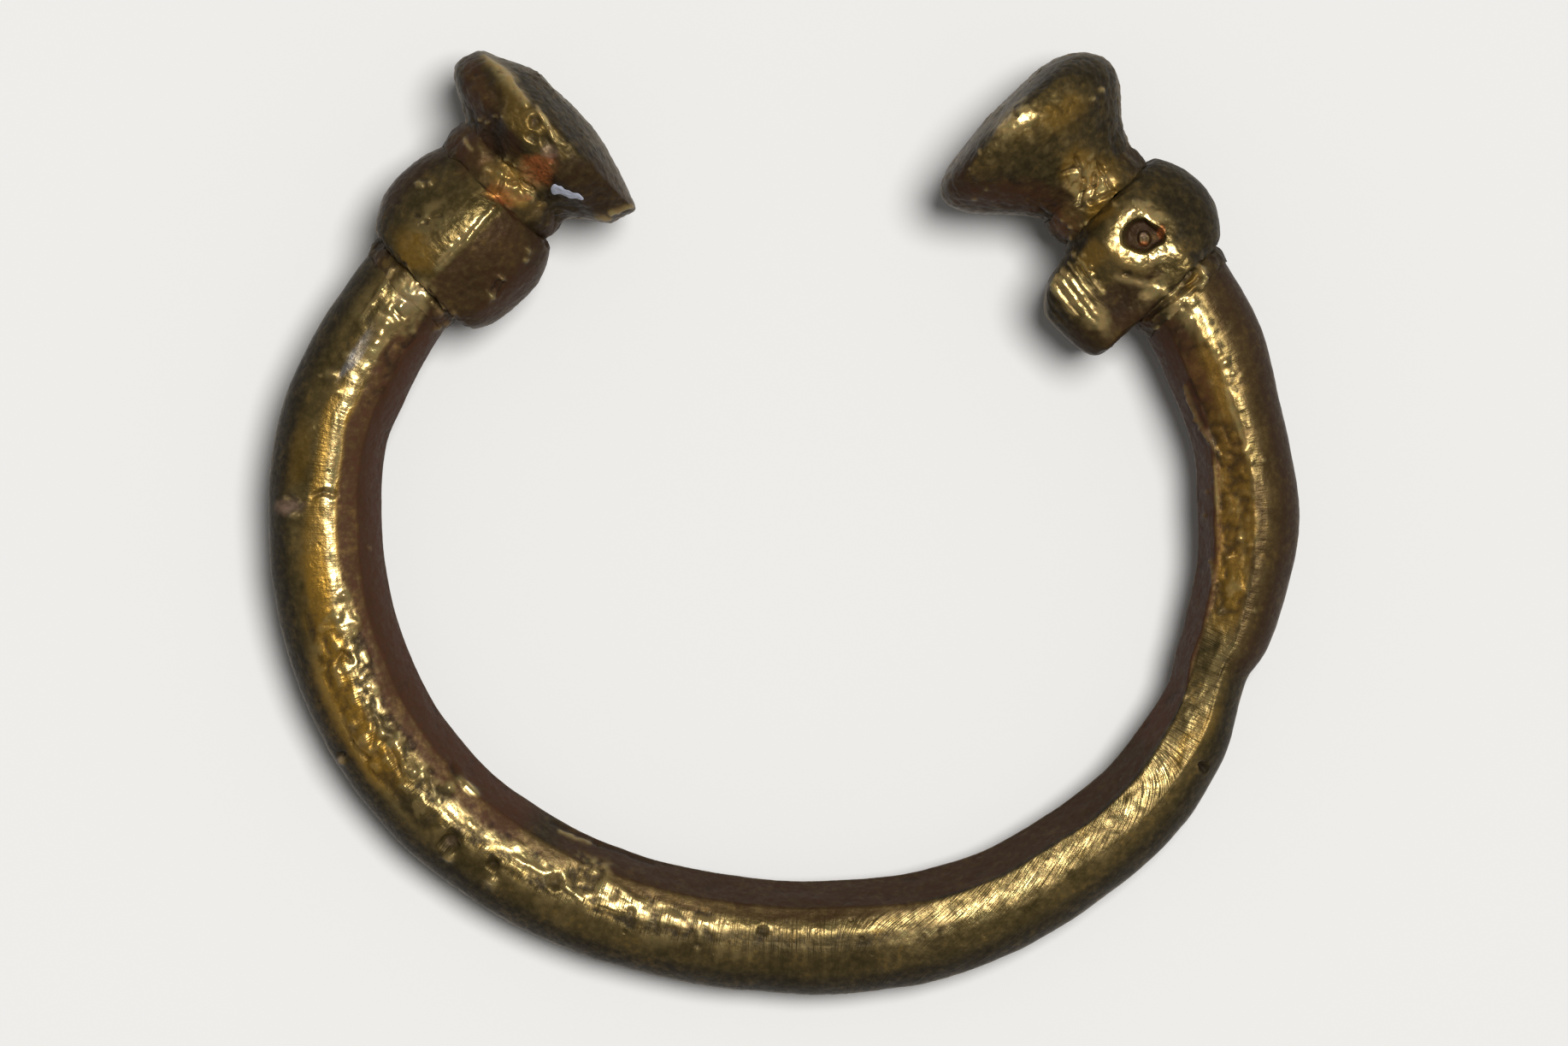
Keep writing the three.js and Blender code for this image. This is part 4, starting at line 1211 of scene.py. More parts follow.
def chained(tree, operation, values):
    """Output of Math nodes that join all the values by one operation."""
    result = values[0]
    for value in values[1:]:
        result = maths(tree, operation, result, value)
    return result


def product(tree, *values):
    """All the values multiplied."""
    return chained(tree, "MULTIPLY", values)


def added(tree, *values):
    """All the values added."""
    return chained(tree, "ADD", values)


def greatest(tree, *values):
    """The greatest of all the values."""
    return chained(tree, "MAXIMUM", values)


def remainder(tree, value):
    """What a share leaves of the whole."""
    return maths(tree, "SUBTRACT", 1.0, value)


def ranged(tree, value, low, high, to_low=0.0, to_high=1.0):
    """Value moved from one range to another and held there."""
    node = tree.nodes.new("ShaderNodeMapRange")
    feed(tree, node.inputs["Value"], value)
    node.inputs["From Min"].default_value = low
    node.inputs["From Max"].default_value = high
    node.inputs["To Min"].default_value = to_low
    node.inputs["To Max"].default_value = to_high
    return node.outputs["Result"]


def mixed(tree, share_socket, first, second):
    """Colour between two colours."""
    node = tree.nodes.new("ShaderNodeMix")
    node.data_type = "RGBA"
    feed(tree, node.inputs["Factor"], share_socket)
    feed(tree, node.inputs[6], first)
    feed(tree, node.inputs[7], second)
    return node.outputs[2]


def noise_node(tree, vector, scale, detail=2.0, roughness=0.5):
    """Output of a Noise Texture node."""
    node = tree.nodes.new("ShaderNodeTexNoise")
    tree.links.new(vector, node.inputs["Vector"])
    feed(tree, node.inputs["Scale"], scale)
    node.inputs["Detail"].default_value = detail
    node.inputs["Roughness"].default_value = roughness
    return node.outputs["Fac"]


def make_cast_grain():
    """Group for the fine grain and pinholes of cast metal."""
    tree, given, end = group_tree(
        "Cast Grain",
        {"Grain Size": 0.1, "Pinhole Size": 0.2, "Grain Height": 0.004},
        {"Height": "NodeSocketFloat"},
    )
    place = tree.nodes.new("ShaderNodeTexCoord").outputs["Object"]
    grain_scale = maths(tree, "DIVIDE", 1 / MM, given["Grain Size"])
    fine = noise_node(tree, place, grain_scale, detail=3.0, roughness=0.6)
    hole_scale = maths(tree, "DIVIDE", 1 / MM, given["Pinhole Size"])
    holes = tree.nodes.new("ShaderNodeTexVoronoi")
    tree.links.new(place, holes.inputs["Vector"])
    tree.links.new(hole_scale, holes.inputs["Scale"])
    pinholes = ranged(tree, holes.outputs["Distance"], 0.1, 0.2, 1.0, 0.0)
    patches = noise_node(tree, place, product(tree, hole_scale, 0.3), detail=1.0)
    sunk = product(tree, pinholes, ranged(tree, patches, 0.5, 0.62), -1.2)
    unrubbed = ranged(tree, mask(tree, "worn"), 0.2, 0.8, 1.0, 0.25)
    height = product(tree, added(tree, fine, sunk), given["Grain Height"], unrubbed)
    tree.links.new(height, end["Height"])
    return tree


def make_file_lines():
    """Group for the fine lines that a file left across the metal."""
    tree, given, end = group_tree(
        "File Lines",
        {"Line Spacing": 0.06, "Line Length": 1.2, "Line Depth": 0.003},
        {"Height": "NodeSocketFloat"},
    )
    lay = tree.nodes.new("ShaderNodeSeparateXYZ")
    tree.links.new(attribute_node(tree, "lay").outputs["Vector"], lay.inputs[0])
    place = tree.nodes.new("ShaderNodeCombineXYZ")
    for axis, size in enumerate(("Line Spacing", "Line Length")):
        tree.links.new(maths(tree, "DIVIDE", lay.outputs[axis], given[size]), place.inputs[axis])
    lines = noise_node(tree, place.outputs[0], 1.0, detail=2.0, roughness=0.7)
    deep = product(tree, added(tree, mask(tree, "filed"), 0.12), given["Line Depth"])
    tree.links.new(product(tree, lines, deep), end["Height"])
    return tree


def make_patina():
    """Group for the patina: its mottling, stains, rubbed places, dirt, painted shade, painted sheen and
    painted glints.
    """
    inputs = {name.capitalize(): BLACK for name in PATINA_COLOURS}
    tree, given, end = group_tree(
        "Patina",
        {**inputs, "Mottle Size": 0.8},
        {"Color": "NodeSocketColor", "Roughness": "NodeSocketFloat", "Metallic": "NodeSocketFloat"},
    )
    place = tree.nodes.new("ShaderNodeTexCoord").outputs["Object"]
    mottle_scale = maths(tree, "DIVIDE", 1 / MM, given["Mottle Size"])
    broad = noise_node(tree, place, mottle_scale, detail=3.0, roughness=0.55)
    fine = noise_node(tree, place, product(tree, mottle_scale, 5.0), detail=3.0, roughness=0.6)
    speck = noise_node(tree, place, product(tree, mottle_scale, 11.0), detail=2.0, roughness=0.6)

    broad_light = ranged(tree, broad, 0.35, 0.7, 0.0, 0.14)
    light = added(tree, broad_light, ranged(tree, fine, 0.4, 0.7, 0.0, 0.12))
    tone = mixed(tree, light, given["Olive"], given["Gold"])
    speckled_amber = product(tree, mask(tree, "amber"), ranged(tree, speck, 0.2, 0.55, 0.55, 1.0))
    stray_amber = product(tree, ranged(tree, fine, 0.5, 0.7, 0.0, 0.35), ranged(tree, broad, 0.45, 0.6))
    # Painted shade and dark tarnish.
    dark = product(tree, mask(tree, "shade_and_tarnish"), ranged(tree, fine, 0.3, 0.65, 1.0, 0.8))
    brown = product(tree, mask(tree, "umber"), ranged(tree, fine, 0.25, 0.65, 1.0, 0.6))
    pale = mask(tree, "pale")
    covers = {
        "Amber": greatest(tree, speckled_amber, stray_amber),
        "Shade_and_tarnish": dark,
        "Umber": brown,
        "Copper": product(tree, mask(tree, "copper"), ranged(tree, speck, 0.3, 0.6, 0.25, 1.0)),
        # Painted sheen: a cool bluish colour where the sheen falls.
        "Painted_sheen": mask(tree, "painted_sheen"),
        "Pale": product(tree, pale, ranged(tree, fine, 0.3, 0.6, 0.5, 1.0)),
    }
    for name, cover in covers.items():
        tone = mixed(tree, cover, tone, given[name])
    uncovered = remainder(tree, greatest(tree, pale, brown))
    # Rubbed metal, which also carries the painted glints.
    rubbed = product(tree, mask(tree, "worn"), added(tree, product(tree, uncovered, 0.8), 0.2))
    filmed = product(tree, ranged(tree, fine, 0.46, 0.6), 0.5)
    tone = mixed(tree, rubbed, tone, mixed(tree, filmed, given["Gold"], given["Film"]))
    grime = ranged(tree, speck, 0.3, 0.6, 0.6, 1.0)
    dirty = product(tree, mask(tree, "soiled"), grime, remainder(tree, pale))
    tone = mixed(tree, dirty, tone, given["Soil"])
    tree.links.new(tone, end["Color"])

    dull = greatest(tree, brown, dirty, pale, product(tree, dark, 0.8))
    rough = ranged(tree, dull, 0.0, 1.0, BARE_ROUGHNESS, DULL_ROUGHNESS)
    rough = added(tree, rough, ranged(tree, speck, 0.3, 0.7, -SPECK_ROUGHNESS, SPECK_ROUGHNESS))
    rough = maths(tree, "SUBTRACT", rough, product(tree, rubbed, RUBBED_SMOOTHING))
    tree.links.new(rough, end["Roughness"])
    metal = ranged(tree, dull, 0.0, 1.0, PATINA_METAL, 0.0)
    tree.links.new(greatest(tree, metal, product(tree, rubbed, RUBBED_METAL)), end["Metallic"])
    return tree


GROUP_MAKERS = {
    "Cast Grain": make_cast_grain,
    "File Lines": make_file_lines,
    "Patina": make_patina,
}


def place_group(tree, name, values):
    """Node that holds the group of that name, made once, with its inputs set."""
    node = tree.nodes.new("ShaderNodeGroup")
    node.node_tree = bpy.data.node_groups.get(name) or GROUP_MAKERS[name]()
    for input_name, value in values.items():
        node.inputs[input_name].default_value = value
    return node.outputs


def new_material(name):
    """New material, its node tree and the inputs of its shader."""
    material = bpy.data.materials.new(name)
    material.use_nodes = True
    tree = material.node_tree
    return material, tree, tree.nodes["Principled BSDF"].inputs


def bump(tree, shader, height):
    """Feeds a height in millimetres to the shader's normal."""
    node = tree.nodes.new("ShaderNodeBump")
    node.inputs["Distance"].default_value = MM
    tree.links.new(height, node.inputs["Height"])
    tree.links.new(node.outputs["Normal"], shader["Normal"])


def patina_material(context, name, grain_size, line_depth):
    """Material of patinated copper alloy, made once under its name."""
    found = bpy.data.materials.get(name)
    if found:
        return found
    finish = context.scene.ring_finish
    material, tree, shader = new_material(name)
    shader["Specular IOR Level"].default_value = PATINA_GLOSS
    colours = {tone.capitalize(): (*getattr(finish, tone), 1) for tone in PATINA_COLOURS}
    patina = place_group(tree, "Patina", {**colours, "Mottle Size": finish.mottle_size / MM})
    grain = place_group(tree, "Cast Grain", {
        "Grain Size": grain_size,
        "Pinhole Size": 0.35,
        "Grain Height": 0.01,
    })
    lines = place_group(tree, "File Lines", {
        "Line Spacing": 0.085,
        "Line Length": 1.1,
        "Line Depth": line_depth,
    })
    tree.links.new(patina["Color"], shader["Base Color"])
    tree.links.new(patina["Roughness"], shader["Roughness"])
    tree.links.new(patina["Metallic"], shader["Metallic"])
    bump(tree, shader, added(tree, grain["Height"], lines["Height"]))
    return material


def bronze(context):
    """Material of the hoop and the knobs."""
    return patina_material(context, "Hoop Bronze", grain_size=0.09, line_depth=0.028)


def worn_bronze(context):
    """Material of the flared terminals."""
    return patina_material(context, "Flare Bronze", grain_size=0.11, line_depth=0.003)


def cuprite_braze(context):
    """Material of the brazing metal."""
    return patina_material(context, "Seam Braze", grain_size=0.08, line_depth=0.0)


# The hoop

HOOP_ROWS = 880
HOOP_UPPER_POINTS = 72
HOOP_LOWER_POINTS = 38
HOOP_LOWER_TURNS = (-180, -12)
HOOP_UPPER_TURNS = (-12, 180)
HOOP_BLUR_REACH = 6
CREST_TURN = 100
STROKE_SLANT = -2.0
SLANTED_STRETCH = (282, 322)
SLANTED_FEATHER = 16
ZONE_WANDER = 5
ZONE_ANGLE_FEATHER = 6.0
ZONE_TURN_FEATHER = 7.0


def hoop_lay(sizes, angles, turns, centre):
    """Lay of the file lines on the hoop: way along the bar, slanted by the strokes, and across it."""
    steps = np.linalg.norm(np.diff(centre, axis=0), axis=1)
    lengthwise = np.concatenate([[0], np.cumsum(steps)])
    from_crest = np.radians(turns - CREST_TURN)[None, :] * (sizes.hoop_height / 2 / MM)
    slant = STROKE_SLANT * band(angles, *SLANTED_STRETCH, SLANTED_FEATHER)[:, None]
    lay = np.zeros((len(angles), len(turns), 3))
    lay[..., 0] = lengthwise[:, None] + slant * from_crest
    lay[..., 1] = from_crest
    return lay


def hoop_zones(grid, angles, turns):
    """Masks of the stretches of the hoop that have their own finish."""
    wander = ZONE_WANDER * noise(grid, "hoop zones")
    masks = {name: np.zeros(grid.shape[:-1]) for name in HOOP_ZONES}
    for name, zones in HOOP_ZONES.items():
        for first, last, low, high, zone_strength in zones:
            lengthways = band(angles, first, last, ZONE_ANGLE_FEATHER)[:, None]
            across = band(turns[None, :] + wander, low, high, ZONE_TURN_FEATHER)
            masks[name] = np.maximum(masks[name], zone_strength * lengthways * across)
    return masks


class RING_OT_hoop(bpy.types.Operator):
    """Make the filed bar bent into a hoop"""

    bl_idname = "ring.hoop"
    bl_label = "Hoop"

    def execute(self, context):
        sizes = context.scene.ring_sizes
        angles = np.linspace(LEFT_END_ANGLE, RIGHT_END_ANGLE, HOOP_ROWS)
        upper = np.linspace(*HOOP_UPPER_TURNS, HOOP_UPPER_POINTS, endpoint=False)
        lower = np.linspace(*HOOP_LOWER_TURNS, HOOP_LOWER_POINTS, endpoint=False)
        turns = np.concatenate([upper, lower])
        grid, centre = hoop_grid(sizes, angles, turns)
        lay = hoop_lay(sizes, angles, turns, centre)
        zones = hoop_zones(grid, angles, turns)
        inside = np.broadcast_to(centre[:, None, :], grid.shape)
        dress(context, "hoop", bronze(context), grid, inside, lay, zones,
              blur_reach=HOOP_BLUR_REACH)
        return {"FINISHED"}


# The knobs' points, zones and drilled mark

KNOB_ROUND_POINTS = 300
KNOB_RISE_POINTS = 260
KNOB_RIM = 0.14
KNOB_END_WAVE = 0.14
KNOB_GRAININESS = 0.8
KNOB_LAY_RADIUS = 0.3
SIDE_HINT = np.array([0.31, 0.94, 0.11])
LEFT_KNOB_INSET_SHARE = 0.998
LEFT_KNOB_BLUR = 3
LEFT_ARRIS_SIDE = -0.12
LEFT_ARRIS_SPAN = 0.14
LEFT_UMBER = 0.5
LEFT_UMBER_UNEVENNESS = 0.2
LEFT_OUTER_SIDE = 1.3
SIDE_SPAN = 0.5
RIGHT_KNOB_INSET_SHARE = 0.995
RIGHT_KNOB_BLUR = 6
SNOUT_BLUR = 2
RIGHT_OUTER_SIDE = 0.55
RIGHT_INNER_SIDE = 0.3
FLARE_SIDE_START = -0.5
FLARE_SIDE_SPAN = 0.6
SNOUT_END_START = 1.4
SNOUT_END_SPAN = 0.5
SNOUT_START = 1.15
SNOUT_SPAN = 0.4
SNOUT_FILING = 3
MARK_POLAR_SPAN = 0.42
MARK_RISE_POINTS = 39
MARK_CLEAR_RADIUS = 0.65
MARK_CLEAR_SPAN = 0.3
MARK_POLISH_RADIUS = 0.95
MARK_POLISH_SPAN = 0.45
DISH_RADIUS = 0.68
DISH_DEPTH = 0.13
SHOULDER_PLACE = (0.5, 0.52)
SHOULDER_RADIUS = 0.55
SHOULDER_HEIGHT = 0.2
TOP_SPAN = 0.5


def rounded_end(values, limit, rim):
    """Values held within a limit either way, turning into it over the rim's length."""
    size = np.abs(values)
    rim = np.minimum(rim, 0.9 * limit)
    past = np.maximum(size - (limit - rim), 0)
    held = np.where(past > 0, limit - rim * np.exp(-past / rim), size)
    return np.sign(values) * held


def turned_directions(pole, polar):
    """Directions at polar angles from a pole, at even turns all round it."""
    around = np.linspace(0, 2 * math.pi, KNOB_ROUND_POINTS, endpoint=False)
    pole = unit(np.array(pole, float))
    side = unit(np.cross(pole, SIDE_HINT))
    other = np.cross(pole, side)
    sin = np.sin(polar)[:, None, None]
    cos = np.cos(polar)[:, None, None]
    wheel = np.cos(around)[None, :, None] * side + np.sin(around)[None, :, None] * other
    return cos * pole + sin * wheel


def ended_knob(sizes, side_name, directions, reach):
    """Points of a knob at its reach, held between its two slightly wavy ends."""
    points = directions * reach[..., None]
    half = end_size(sizes, side_name, "knob_length") / 2 - sizes.seam_gap / MM
    limit = half - KNOB_END_WAVE * np.abs(noise(points, side_name + " knob ends"))
    points[..., 0] = rounded_end(points[..., 0], limit, KNOB_RIM)
    return points


def knob_lay(points):
    """Lay of the file lines across a knob."""
    lay = np.zeros(points.shape)
    lay[..., 0] = points[..., 0]
    distance = np.hypot(points[..., 1], points[..., 2])
    around = np.arctan2(points[..., 2], points[..., 1])
    lay[..., 1] = around * np.maximum(distance, KNOB_LAY_RADIUS)
    return lay


def dress_knob(context, side_name, points, offset_out, lay, zones, extra_lift=0.0):
    """Dresses a knob from points round its own middle, which stands out of the end's axis."""
    sizes = context.scene.ring_sizes
    start = sizes.braze_thickness / MM + end_size(sizes, side_name, "knob_length") / 2
    middle = np.array([start, offset_out, 0.0])
    grid = from_end(sizes, side_name, points + middle)
    inside = np.broadcast_to(from_end(sizes, side_name, middle), grid.shape)
    dress(context, side_name + "_knob", bronze(context), grid, inside, lay, zones,
          extra_lift=extra_lift)


def left_knob_zones(points):
    """Masks of the left knob's own finish: brown tarnish and painted shade past its arris, where its
    side turns away from the light, and brown on its outer side.
    """
    around = np.degrees(np.arctan2(points[..., 2], points[..., 1]))
    past_arris = falling(points[..., 1], LEFT_ARRIS_SIDE, LEFT_ARRIS_SPAN)
    uneven = LEFT_UMBER_UNEVENNESS * noise(points, "left knob umber")
    brown = (LEFT_UMBER + uneven) * past_arris
    return {
        "grainy": np.full(points.shape[:-1], KNOB_GRAININESS),
        "filed": 0.1 * band(around, 0, 90, 20),
        "umber": np.maximum(brown, 0.35 * rising(points[..., 1], LEFT_OUTER_SIDE, SIDE_SPAN)),
        # Painted shade: dark tarnish colour past the arris.
        "shade_and_tarnish": 0.75 * past_arris,
    }


def right_knob_zones(sizes, points, mark, away_from_mark):
    """Masks of the right knob's own finish: its filed snout, painted shade on its far sides and in its
    drilled mark, and rubbed metal with painted glints on its lip.
    """
    towards_flare = rising(points[..., 0], FLARE_SIDE_START, FLARE_SIDE_SPAN)
    on_snout = rising(points[..., 1], SNOUT_START, SNOUT_SPAN)
    outer_side = rising(-points[..., 1], RIGHT_OUTER_SIDE, SIDE_SPAN)
    hoop_side = rising(points[..., 1], RIGHT_INNER_SIDE, SIDE_SPAN) * (1 - towards_flare)
    dark = np.maximum(outer_side, 0.8 * hoop_side)
    dark *= 0.9 * rising(away_from_mark, MARK_CLEAR_RADIUS, MARK_CLEAR_SPAN)
    hole = smooth_step(-1.3 * mark / (sizes.ring_mark_depth / MM))
    lip = smooth_step(mark / (0.5 * sizes.ring_lip_height / MM))
    near_hole = falling(away_from_mark, MARK_POLISH_RADIUS, MARK_POLISH_SPAN)
    return {
        "grainy": np.full(points.shape[:-1], KNOB_GRAININESS),
        "filed": SNOUT_FILING * on_snout * towards_flare,
        "umber": np.maximum(0.25 * on_snout * (1 - towards_flare), 0.45 * hole),
        # Painted shade: dark tarnish colour on the far sides and in the drilled mark.
        "shade_and_tarnish": np.maximum(dark, hole),
        # Painted highlight: rubbed metal on the lip where it catches the light.
        "crest_and_glint": 0.8 * smooth_step(lip - 0.1) * (1 - hole) * near_hole,
    }


RING_MARK_STRETCH = 1.13
RING_MARK_SHIFT = -0.07
RING_MARK_EDGE = 0.1
RING_MARK_RAGGEDNESS = 0.03
RING_MARK_NARROWING = 0.35
RING_MARK_HALF_SIZE = 0.4
RING_DOT_SHIFT = (-0.07, -0.05)
RING_DOT_SINK_SHARE = 0.45
RING_LIP_TURN = 205
RING_LIP_PLACE_SHARE = 1.7
RING_LIP_WIDTH_SHARE = 0.7
RING_LIP_MIDDLE = 0.75
RING_LIP_LEAN = 0.65
RING_LIP_UNEVENNESS = 0.3


def ring_mark_lift(sizes, points, ahead, out):
    """Depth of the drilled ring round its dot, and the lip pushed up round it."""
    axis = flat_direction(RIGHT_AXIS_TURN)
    from_x, from_y = points[..., 0] - ahead, points[..., 1] + out
    east = from_x * axis[0] - from_y * axis[1]
    north = from_x * axis[1] + from_y * axis[0]
    east_of_mark = east - RING_MARK_SHIFT
    narrowing = 1 + RING_MARK_NARROWING * smooth_step(east_of_mark / RING_MARK_HALF_SIZE)
    ragged = RING_MARK_RAGGEDNESS * noise(points, "drilled edge", 2)
    away = np.hypot(east_of_mark / RING_MARK_STRETCH, north * RING_MARK_STRETCH * narrowing) + ragged
    from_dot = np.hypot(east - RING_DOT_SHIFT[0], north - RING_DOT_SHIFT[1]) + ragged
    outer = sizes.ring_mark_radius / MM
    dot = sizes.ring_dot_radius / MM
    inside = smooth_step((outer - away) / RING_MARK_EDGE + 0.5)
    groove = inside * smooth_step((from_dot - dot) / RING_MARK_EDGE + 0.5)
    from_lip = (away - outer * RING_LIP_PLACE_SHARE) / (outer * RING_LIP_WIDTH_SHARE)
    lip = np.exp(-(from_lip**2))
    lip_direction = flat_direction(RING_LIP_TURN)
    towards_lip = (east * lip_direction[0] + north * lip_direction[1]) / np.maximum(away, 0.1)
    lip *= RING_LIP_MIDDLE + RING_LIP_LEAN * np.clip(towards_lip, -1, 1)
    lip *= 1 + RING_LIP_UNEVENNESS * noise(points, "drilled lip")
    depth = sizes.ring_mark_depth / MM
    sunk = -depth * groove - RING_DOT_SINK_SHARE * depth * inside * (1 - groove)
    return smooth_step(points[..., 2] / TOP_SPAN) * (sunk + sizes.ring_lip_height / MM * lip)


class RING_OT_left_knob(bpy.types.Operator):
    """Make the faceted knob on the left end of the hoop"""

    bl_idname = "ring.left_knob"
    bl_label = "Left Knob"

    def execute(self, context):
        sizes = context.scene.ring_sizes
        polar = np.linspace(0, math.pi, KNOB_RISE_POINTS + 1)[1:-1]
        directions = turned_directions((-1, 0, 0), polar)
        reach = LEFT_KNOB_INSET_SHARE * grid_blur(left_knob_reach(sizes, directions), LEFT_KNOB_BLUR)
        points = ended_knob(sizes, "left", directions, reach)
        dress_knob(context, "left", points, 0.0, knob_lay(points), left_knob_zones(points))
        return {"FINISHED"}


class RING_OT_right_knob(bpy.types.Operator):
    """Make the knob with the squared snout on the right end of the hoop"""

    bl_idname = "ring.right_knob"
    bl_label = "Right Knob"

    def execute(self, context):
        sizes = context.scene.ring_sizes
        ahead = sizes.ring_mark_ahead / MM
        out = sizes.ring_mark_out / MM
        top = sizes.right_knob_half_height / MM
        near = np.linspace(0, MARK_POLAR_SPAN, MARK_RISE_POINTS + 1)[1:]
        far = np.linspace(MARK_POLAR_SPAN, math.pi, KNOB_RISE_POINTS - MARK_RISE_POINTS + 1)[1:-1]
        directions = turned_directions((ahead, -out, top), np.concatenate([near, far]))
        full_reach = right_knob_reach(sizes, directions)
        reach = grid_blur(full_reach, RIGHT_KNOB_BLUR)
        near_end = rising(directions[..., 1] * reach, SNOUT_END_START, SNOUT_END_SPAN)
        reach = reach + (grid_blur(full_reach, SNOUT_BLUR) - reach) * near_end
        points = ended_knob(sizes, "right", directions, RIGHT_KNOB_INSET_SHARE * reach)

        lay = knob_lay(points)
        on_snout = rising(points[..., 1], SNOUT_START, SNOUT_SPAN)
        lay = lay + (lay[..., [1, 0, 2]] - lay) * on_snout[..., None]
        mark = ring_mark_lift(sizes, points, ahead, out)
        away_from_mark = np.hypot(points[..., 0] - ahead, points[..., 1] + out)
        zones = right_knob_zones(sizes, points, mark, away_from_mark)
        on_top = smooth_step(points[..., 2] / TOP_SPAN)
        dish = np.exp(-((away_from_mark / DISH_RADIUS) ** 2)) * on_top
        shoulder_x, shoulder_y = SHOULDER_PLACE
        from_shoulder = np.hypot(points[..., 0] - shoulder_x, points[..., 1] - shoulder_y)
        shoulder = np.exp(-((from_shoulder / SHOULDER_RADIUS) ** 2)) * on_top
        forms = mark - DISH_DEPTH * dish + SHOULDER_HEIGHT * shoulder
        dress_knob(context, "right", points, -sizes.right_knob_offset / MM, lay, zones, forms)
        return {"FINISHED"}


# The flared terminals

FLARE_ROUND_POINTS = 320
FLARE_LENGTH_POINTS = 170
FLARE_FACE_POINTS = 90
FLARE_GRAININESS = 1.1
FLARE_LAY_RADIUS = 1.5
FLARE_MIDDLE_SHARE = 0.8
FLARE_FACET_START = 0.05
FLARE_FACET_SPAN = 0.3
FLARE_FILED_SHARES = (0.3, 0.8)
FLARE_FILED_FEATHER = 0.3
FLARE_INNER_SIDE = 0.6
FLARE_INNER_SPAN = 1.0
FLARE_NECK_SHARE = 0.34
FLARE_NECK_FEATHER = 0.25
FLARES = {
    "left": (1, LEFT_FLARE_STATION_SHARES, LEFT_FLARE_FACET_SHARES),
    "right": (-1, RIGHT_FLARE_STATION_SHARES, RIGHT_FLARE_FACET_SHARES),
}


def facet_ring_reach(turns, facets):
    """Reach round a circle with flats cut on it."""
    powers = np.ones_like(turns)
    for degrees, depth_share in facets:
        facing = np.cos(turns - math.radians(degrees))
        powers = powers + (np.maximum(facing, 0) / depth_share) ** EDGE_POWER
    return powers ** (-1 / EDGE_POWER)


def flare_points(sizes, side_name, turns):
    """Points of a flare along its own axis, from its neck to the middle of its domed face."""
    side, table, facets = FLARES[side_name]
    full_length = end_size(sizes, side_name, "flare_length")
    half_width = end_size(sizes, side_name, "flare_half_width")
    shift = end_size(sizes, side_name, "flare_shift")
    shares = np.linspace(0, 1, FLARE_LENGTH_POINTS)
    face_closing = np.sqrt(np.linspace(1, 0, FLARE_FACE_POINTS + 1)[1:-1])
    closing = np.concatenate([np.ones(len(shares)), face_closing])
    place = np.concatenate([shares, np.ones(len(face_closing))])
    rows = along(table, place)
    outer = half_width * rows[:, OUTER_EDGE] + shift
    inner = half_width * rows[:, INNER_EDGE] + shift
    half_height = sizes.flare_half_height / MM * rows[:, FLARE_HEIGHT] * closing
    middle = side * (outer + inner) / 2
    half = (outer - inner) / 2 * closing
    facet_strength = rising(place, FLARE_FACET_START, FLARE_FACET_SPAN)[:, None]
    reach = 1 + (facet_ring_reach(turns, facets)[None, :] - 1) * facet_strength
    gap = sizes.seam_gap / MM
    points = np.zeros((len(place), len(turns), 3))
    points[..., 0] = (gap + (full_length - gap) * place)[:, None]
    points[..., 1] = middle[:, None] + half[:, None] * reach * np.cos(turns)
    points[..., 2] = half_height[:, None] * reach * np.sin(turns)
    return points


class RING_OT_flares(bpy.types.Operator):
    """Make the flared terminals on both ends of the ring"""

    bl_idname = "ring.flares"
    bl_label = "Flared Terminals"

    def execute(self, context):
        for side_name in FLARES:
            self.make(context, side_name)
        return {"FINISHED"}

    def make(self, context, side_name):
        sizes = context.scene.ring_sizes
        side = FLARES[side_name][0]
        full_length = end_size(sizes, side_name, "flare_length")
        turns = np.linspace(0, 2 * math.pi, FLARE_ROUND_POINTS, endpoint=False)
        points = flare_points(sizes, side_name, turns)
        lay = np.zeros(points.shape)
        lay[..., 0] = points[..., 0]
        lay[..., 1] = turns[None, :] * FLARE_LAY_RADIUS
        share_along = points[..., 0] / full_length
        zones = {
            "grainy": np.full(points.shape[:-1], FLARE_GRAININESS),
            "filed": 0.25 * band(share_along, *FLARE_FILED_SHARES, FLARE_FILED_FEATHER),
            "umber": 0.25 * rising(side * -points[..., 1], FLARE_INNER_SIDE, FLARE_INNER_SPAN),
            "shade_and_tarnish": 0.45 * smooth_step(1 - 2 * noise(points, "flare tarnish")),
            "chunky": 0.32 + 0.43 * falling(share_along, FLARE_NECK_SHARE, FLARE_NECK_FEATHER),
        }
        start = 2 * sizes.braze_thickness / MM + end_size(sizes, side_name, "knob_length")
        grid = from_end(sizes, side_name, points + np.array([start, 0, 0]))
        centre = np.zeros(points.shape)
        centre[..., 0] = np.minimum(points[..., 0], FLARE_MIDDLE_SHARE * full_length) + start
        inside = from_end(sizes, side_name, centre)
        dress(context, side_name + "_flared_terminal", worn_bronze(context),
              grid, inside, lay, zones)


# The brazing metal

BRAZE_ROUND_POINTS = 260
BRAZE_TUBE_POINTS = 64
BRAZE_BLUR_REACH = 4
BRAZE_FOOT = 0.02
BRAZE_SINK_SHARE = 2.2
BRAZE_WIDTH_WANDER = 0.35
BRAZE_RISE_WANDER = 1.2
BRAZE_LUMP_HEIGHT = 0.035
BRAZE_GRAIN_HEIGHT = 0.008
BRAZE_PROUD_HEIGHT = 0.04
BRAZE_PATCHINESS = 1.2
BRAZE_TARNISH = 0.6
BRAZE_UMBER = 0.6
BRAZE_RUBBING = 0.3
BRAZE_CREST_RUBBING = 0.8
BRAZE_DIRT = 0.7
NECK_COLLAR_SHIFT = 0.1
WHEEL_RADIUS = 1.5


